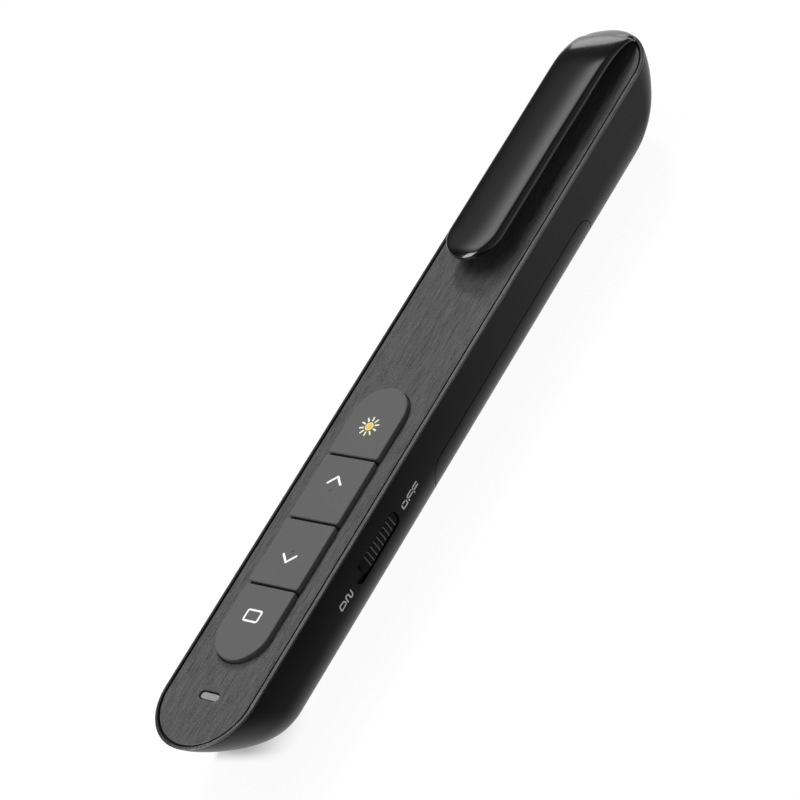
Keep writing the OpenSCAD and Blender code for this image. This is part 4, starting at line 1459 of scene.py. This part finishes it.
def receiver_cap(body, y0, material, steps=16):
    """Cap of the receiver, its lower face flush with the rounded back, with grip ridges."""
    back_x = body.width / 2 - body.corner
    back_r = body.corner - 0.1 * MM
    half, top_z, length = 6.2 * MM, 6.2 * MM, 6.8 * MM
    start = math.acos((half - back_x) / back_r)
    right = []
    for i in range(steps + 1):
        a = start + (math.pi / 2 - start) * i / steps
        right.append((body.corner - back_r * math.sin(a), back_x + back_r * math.cos(a)))
    left = [(z, -x) for z, x in right[::-1]]
    outline = [(top_z, half)] + right + left + [(top_z, -half)]
    cap = stack("receiver_cap_black", lambda g: outline, [(y0, 0), (y0 + length, 0)],
                material, "Y")
    groove_x, groove_w, groove_depth = 4.2 * MM, 0.5 * MM, 0.35 * MM
    grooves, first_y, pitch = 4, y0 + 1.6 * MM, 1.2 * MM
    groove = middle_box("groove", groove_x, (0, groove_w), (-PAST, groove_depth), material)
    run_tree(groove, row_tree, {
        "Count": grooves, "Start": (0, first_y, 0), "Step": (0, pitch, 0),
        "Material": material})
    combine(cap, [groove], "DIFFERENCE")
    return soften(cap, 0.1 * MM)


class BuildBattery(bpy.types.Operator):
    """Cell with its cap, and the spring that it stands against"""
    bl_idname = "clicker.battery"
    bl_label = "Battery"

    def execute(self, context):
        wrap = sleeve("Cell sleeve", (0.55, 0.4, 0.15), (0.012, 0.012, 0.014))
        bright = plated("Cell metal", (0.6, 0.6, 0.61), 0.2)
        y0, y1 = CELL_ENDS
        edge = 0.5 * MM
        tail = [(y0 + edge - h, g) for h, g in rounded_top(edge, edge)][::-1]
        cell = stack("cell_sleeve", lambda g: circle(CELL_R + g, CELL_Z, 0, 64),
                     tail + rounded_top(y1, edge), wrap, "Y")
        shade(cell, 60)
        cap_r, cap_l, cap_edge = 1.9 * MM, 1.2 * MM, 0.3 * MM
        cap = stack("cell_cap", lambda g: circle(cap_r + g, CELL_Z, 0), [
            (y1 - 0.1 * MM, 0)] + rounded_top(y1 + cap_l, cap_edge, 4), bright, "Y")
        shade(cap, 60)

        spring = new_piece("cell_spring", [(0, 0, 0)], [], bright)
        wire = 0.25 * MM
        clear = wire + 0.05 * MM
        spring_y = BULKHEADS[0] + BULKHEAD_T + clear
        run_tree(spring, coil_tree, {
            "Turns": 3.0, "Start Radius": 3.9 * MM, "End Radius": 2.2 * MM,
            "Length": y0 - clear - spring_y, "Wire Radius": wire, "Material": bright})
        to_axis = Matrix.Translation((0, spring_y, CELL_Z)) @ Matrix.Rotation(
            math.radians(-90), 4, "X")
        spring.data.transform(to_axis)
        shade(spring, 60)
        finish(cell, "body", ["battery_cell"])
        finish(cap, "body", ["battery_cap"])
        finish(spring, "body", ["negative_spring"])
        return {"FINISHED"}


class FinishInside(bpy.types.Operator):
    """Finishes of the inner parts that keep their solids' shapes"""
    bl_idname = "clicker.inside"
    bl_label = "Inner parts"

    def execute(self, context):
        dark = moulded("Frame plastic", (0.02, 0.02, 0.02), 0.5)
        white = moulded("White plastic", (0.7, 0.7, 0.67), 0.5)
        rubber = moulded("Membrane rubber", (0.1, 0.1, 0.11), 0.7, 0.3, 3000, 0.02 * MM)
        green = circuit("Circuit green", (0.015, 0.1, 0.04))
        fired = moulded("Fired ceramic", (0.35, 0.24, 0.14), 0.6, 0.4, 6000)
        bright = plated("Bright steel", (0.6, 0.6, 0.62), 0.25)
        brass = plated("Turned brass", (0.72, 0.5, 0.2), 0.28)
        red = clear_red("Clear red", (0.55, 0.04, 0.04))
        finishes = {
            dark: ("chassis", "tact_switches", "radio_chip", "switch_lever", "laser_holder"),
            white: ("laser_stem", "page_up_stem", "page_down_stem", "black_screen_stem",
                    "status_led"),
            rubber: ("keypad_membrane",),
            green: ("main_board", "laser_driver"),
            fired: ("chip_parts",),
            bright: ("chassis_screws", "crystal", "power_switch", "positive_contact",
                     "receiver_magnet"),
            brass: ("laser_barrel",),
            red: ("laser_lens", "laser_window"),
        }
        for material, nodes in finishes.items():
            for node in nodes:
                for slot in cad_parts[node].material_slots:
                    slot.material = material
        return {"FINISHED"}


class BuildStage(bpy.types.Operator):
    """Pale floor, soft lamps and the camera"""
    bl_idname = "clicker.stage"
    bl_label = "Stage"

    def execute(self, context):
        stage = context.scene.clicker_stage
        scene = context.scene
        scene.view_settings.view_transform = "Standard"
        rim = [(x, y, 0) for x, y in circle(FLOOR_R, 0, 0, 96)]
        new_piece("floor", rim, [tuple(range(len(rim)))], floor_material(stage))

        scene.world = studio_world(stage)
        key = add_lamp("Key lamp", scene, (-0.72, 1.35, 1.0), 3.0, (0.36, 0.5), stage.key)
        key.visible_glossy = False
        sheen = add_lamp("Sheen lamp", scene, (-0.3, -0.75, 0.5), 0.8, (0.5, 0.65), stage.sheen)
        sheen.visible_diffuse = False
        glint = add_lamp("Glint lamp", scene, (-0.55, 0.83, 0.1), 0.8, (0.24, 0.14), stage.glint)
        glint.visible_diffuse = False

        data = bpy.data.cameras.new("Camera")
        data.lens = stage.lens
        data.sensor_width = 36
        data.clip_start = 0.01
        camera = bpy.data.objects.new("Camera", data)
        right, up = Vector(CAMERA_RIGHT), Vector(CAMERA_UP)
        turn = Matrix((right, up, right.cross(up))).transposed()
        camera.matrix_world = Matrix.Translation(CAMERA_SPOT) @ turn.to_4x4()
        scene.collection.objects.link(camera)
        scene.camera = camera
        return {"FINISHED"}


def studio_world(stage):
    """Dim all round, with a long soft panel overhead, left of the middle, a fainter glow
    round the panel and another low on the right."""
    world = bpy.data.worlds.new("Studio light")
    world.use_nodes = True
    tree = world.node_tree
    where = tree.nodes.new("ShaderNodeTexCoord").outputs["Object"]
    x, y, z = coordinates(tree, where)
    horizon = 0.05                # height under which nothing changes any more
    height = z.at_least(horizon)
    across = x / height
    along = y / height
    panel = across.band(-1.0, -0.45, -0.28, 0.02) * along.band(-0.6, 0.1, 0.74, 0.92)
    glow = across.band(-2.6, -0.9, -0.5, 0.1) * along.band(-0.6, 0.1, 0.6, 1.3)
    right = across.ramp(0.2, 1.5)
    glow_strength, right_strength = 0.35, 0.3
    background = tree.nodes["Background"]
    background.inputs["Color"].default_value = (1, 1, 1, 1)
    put(tree, background.inputs["Strength"], panel * stage.panel + glow * glow_strength
        + right * right_strength + stage.fill)
    return world


def add_lamp(name, scene, towards, distance, measures, power):
    """Rectangular lamp in that direction, turned to the object; returns it."""
    lamp = bpy.data.lights.new(name, "AREA")
    lamp.shape = "RECTANGLE"
    lamp.size, lamp.size_y = measures
    lamp.energy = power
    placed = bpy.data.objects.new(name, lamp)
    direction = Vector(towards).normalized()
    placed.location = direction * distance
    placed.rotation_euler = direction.to_track_quat("Z", "Y").to_euler()
    placed.visible_camera = False
    scene.collection.objects.link(placed)
    return placed


def floor_material(stage):
    """Pale floor that looks white to the eye, and in gloss on the left. It keeps a faint
    shadow all round and a stronger one under the tail."""
    pale = (0.55, 0.55, 0.55)
    material, tree, shader, where = new_material("Pale floor", pale, 0.9, 0.1)
    light_path = tree.nodes.new("ShaderNodeLightPath")
    gloss = Number(tree, light_path.outputs["Is Glossy Ray"])
    seen = Number(tree, light_path.outputs["Is Camera Ray"]).at_least(gloss).at_least(
        Number(tree, light_path.outputs["Is Transmission Ray"]))
    x, y, _ = coordinates(tree, where)
    tail_share = 0.65
    tail_turn = 0.235             # y over x along the tail's edge of that shadow
    under_tail = ((y - x * tail_turn).ramp(-69 * MM, -66 * MM) * (1 - y.ramp(-62 * MM, -56 * MM))
                  * (1 - x.ramp(-2 * MM, 9 * MM)) * tail_share)
    share = (1 - stage.shadow) * under_tail + stage.shadow
    # in gloss the floor is dim beside the right wall, and so the wall stays black
    near_dim, far_dim = 0.95, 0.9
    near = x.ramp(10 * MM, 22 * MM) * (1 - y.ramp(-35 * MM, 60 * MM)) * near_dim
    far = x.ramp(46 * MM, 72 * MM) * far_dim
    dim = gloss * near.at_least(far)
    glow = add_node(tree, "ShaderNodeEmission", {"Color": (1, 1, 1, 1), "Strength": 1 - dim})
    lit = add_node(tree, "ShaderNodeBsdfDiffuse", {"Color": (1, 1, 1, 1)})
    shown = add_node(tree, "ShaderNodeMixShader", {0: share, 1: glow.outputs[0],
                                                   2: lit.outputs[0]})
    grain = noise(tree, where, scale=300)
    tint(tree, shader, pale, grain, darkest=0.98, lightest=1.02)
    pick = add_node(tree, "ShaderNodeMixShader", {1: shader.outputs[0], 2: shown.outputs[0]})
    put(tree, pick.inputs[0], seen)
    out = tree.nodes["Material Output"]
    tree.links.new(pick.outputs[0], out.inputs["Surface"])
    return material


class ClickerPanel(bpy.types.Panel):
    """Sizes and steps of the clicker"""
    bl_idname = "VIEW3D_PT_clicker"
    bl_label = "Presentation clicker"
    bl_space_type = "VIEW_3D"
    bl_region_type = "UI"
    bl_category = "Clicker"

    def draw(self, context):
        for group in SETTINGS:
            settings = getattr(context.scene, group)
            column = self.layout.column(align=True)
            for name in settings.bl_rna.properties.keys():
                if name not in ("rna_type", "name"):
                    column.prop(settings, name)
        for operator in STEPS:
            self.layout.operator(operator.bl_idname)


SETTINGS = {
    "clicker_body": BodySizes,
    "clicker_keys": KeySizes,
    "clicker_clip": ClipSizes,
    "clicker_slide": SlideSizes,
    "clicker_finish": Finishes,
    "clicker_stage": StageSettings,
}
STEPS = (BuildShell, BuildRim, BuildDoor, BuildFaceplate, BuildStatusLight, BuildKeys, BuildSigns,
         BuildLetters, BuildSlide, BuildClip, BuildReceiver, BuildBattery, FinishInside,
         BuildStage)


def register():
    for cls in (*SETTINGS.values(), *STEPS, ClickerPanel):
        bpy.utils.register_class(cls)
    for name, cls in SETTINGS.items():
        setattr(bpy.types.Scene, name, PointerProperty(type=cls))


def unregister():
    for name in SETTINGS:
        delattr(bpy.types.Scene, name)
    for cls in (ClickerPanel, *reversed(STEPS), *SETTINGS.values()):
        bpy.utils.unregister_class(cls)


def main():
    register()
    for step in STEPS:
        category, name = step.bl_idname.split(".")
        getattr(getattr(bpy.ops, category), name)()


if __name__ == "__main__":
    main()
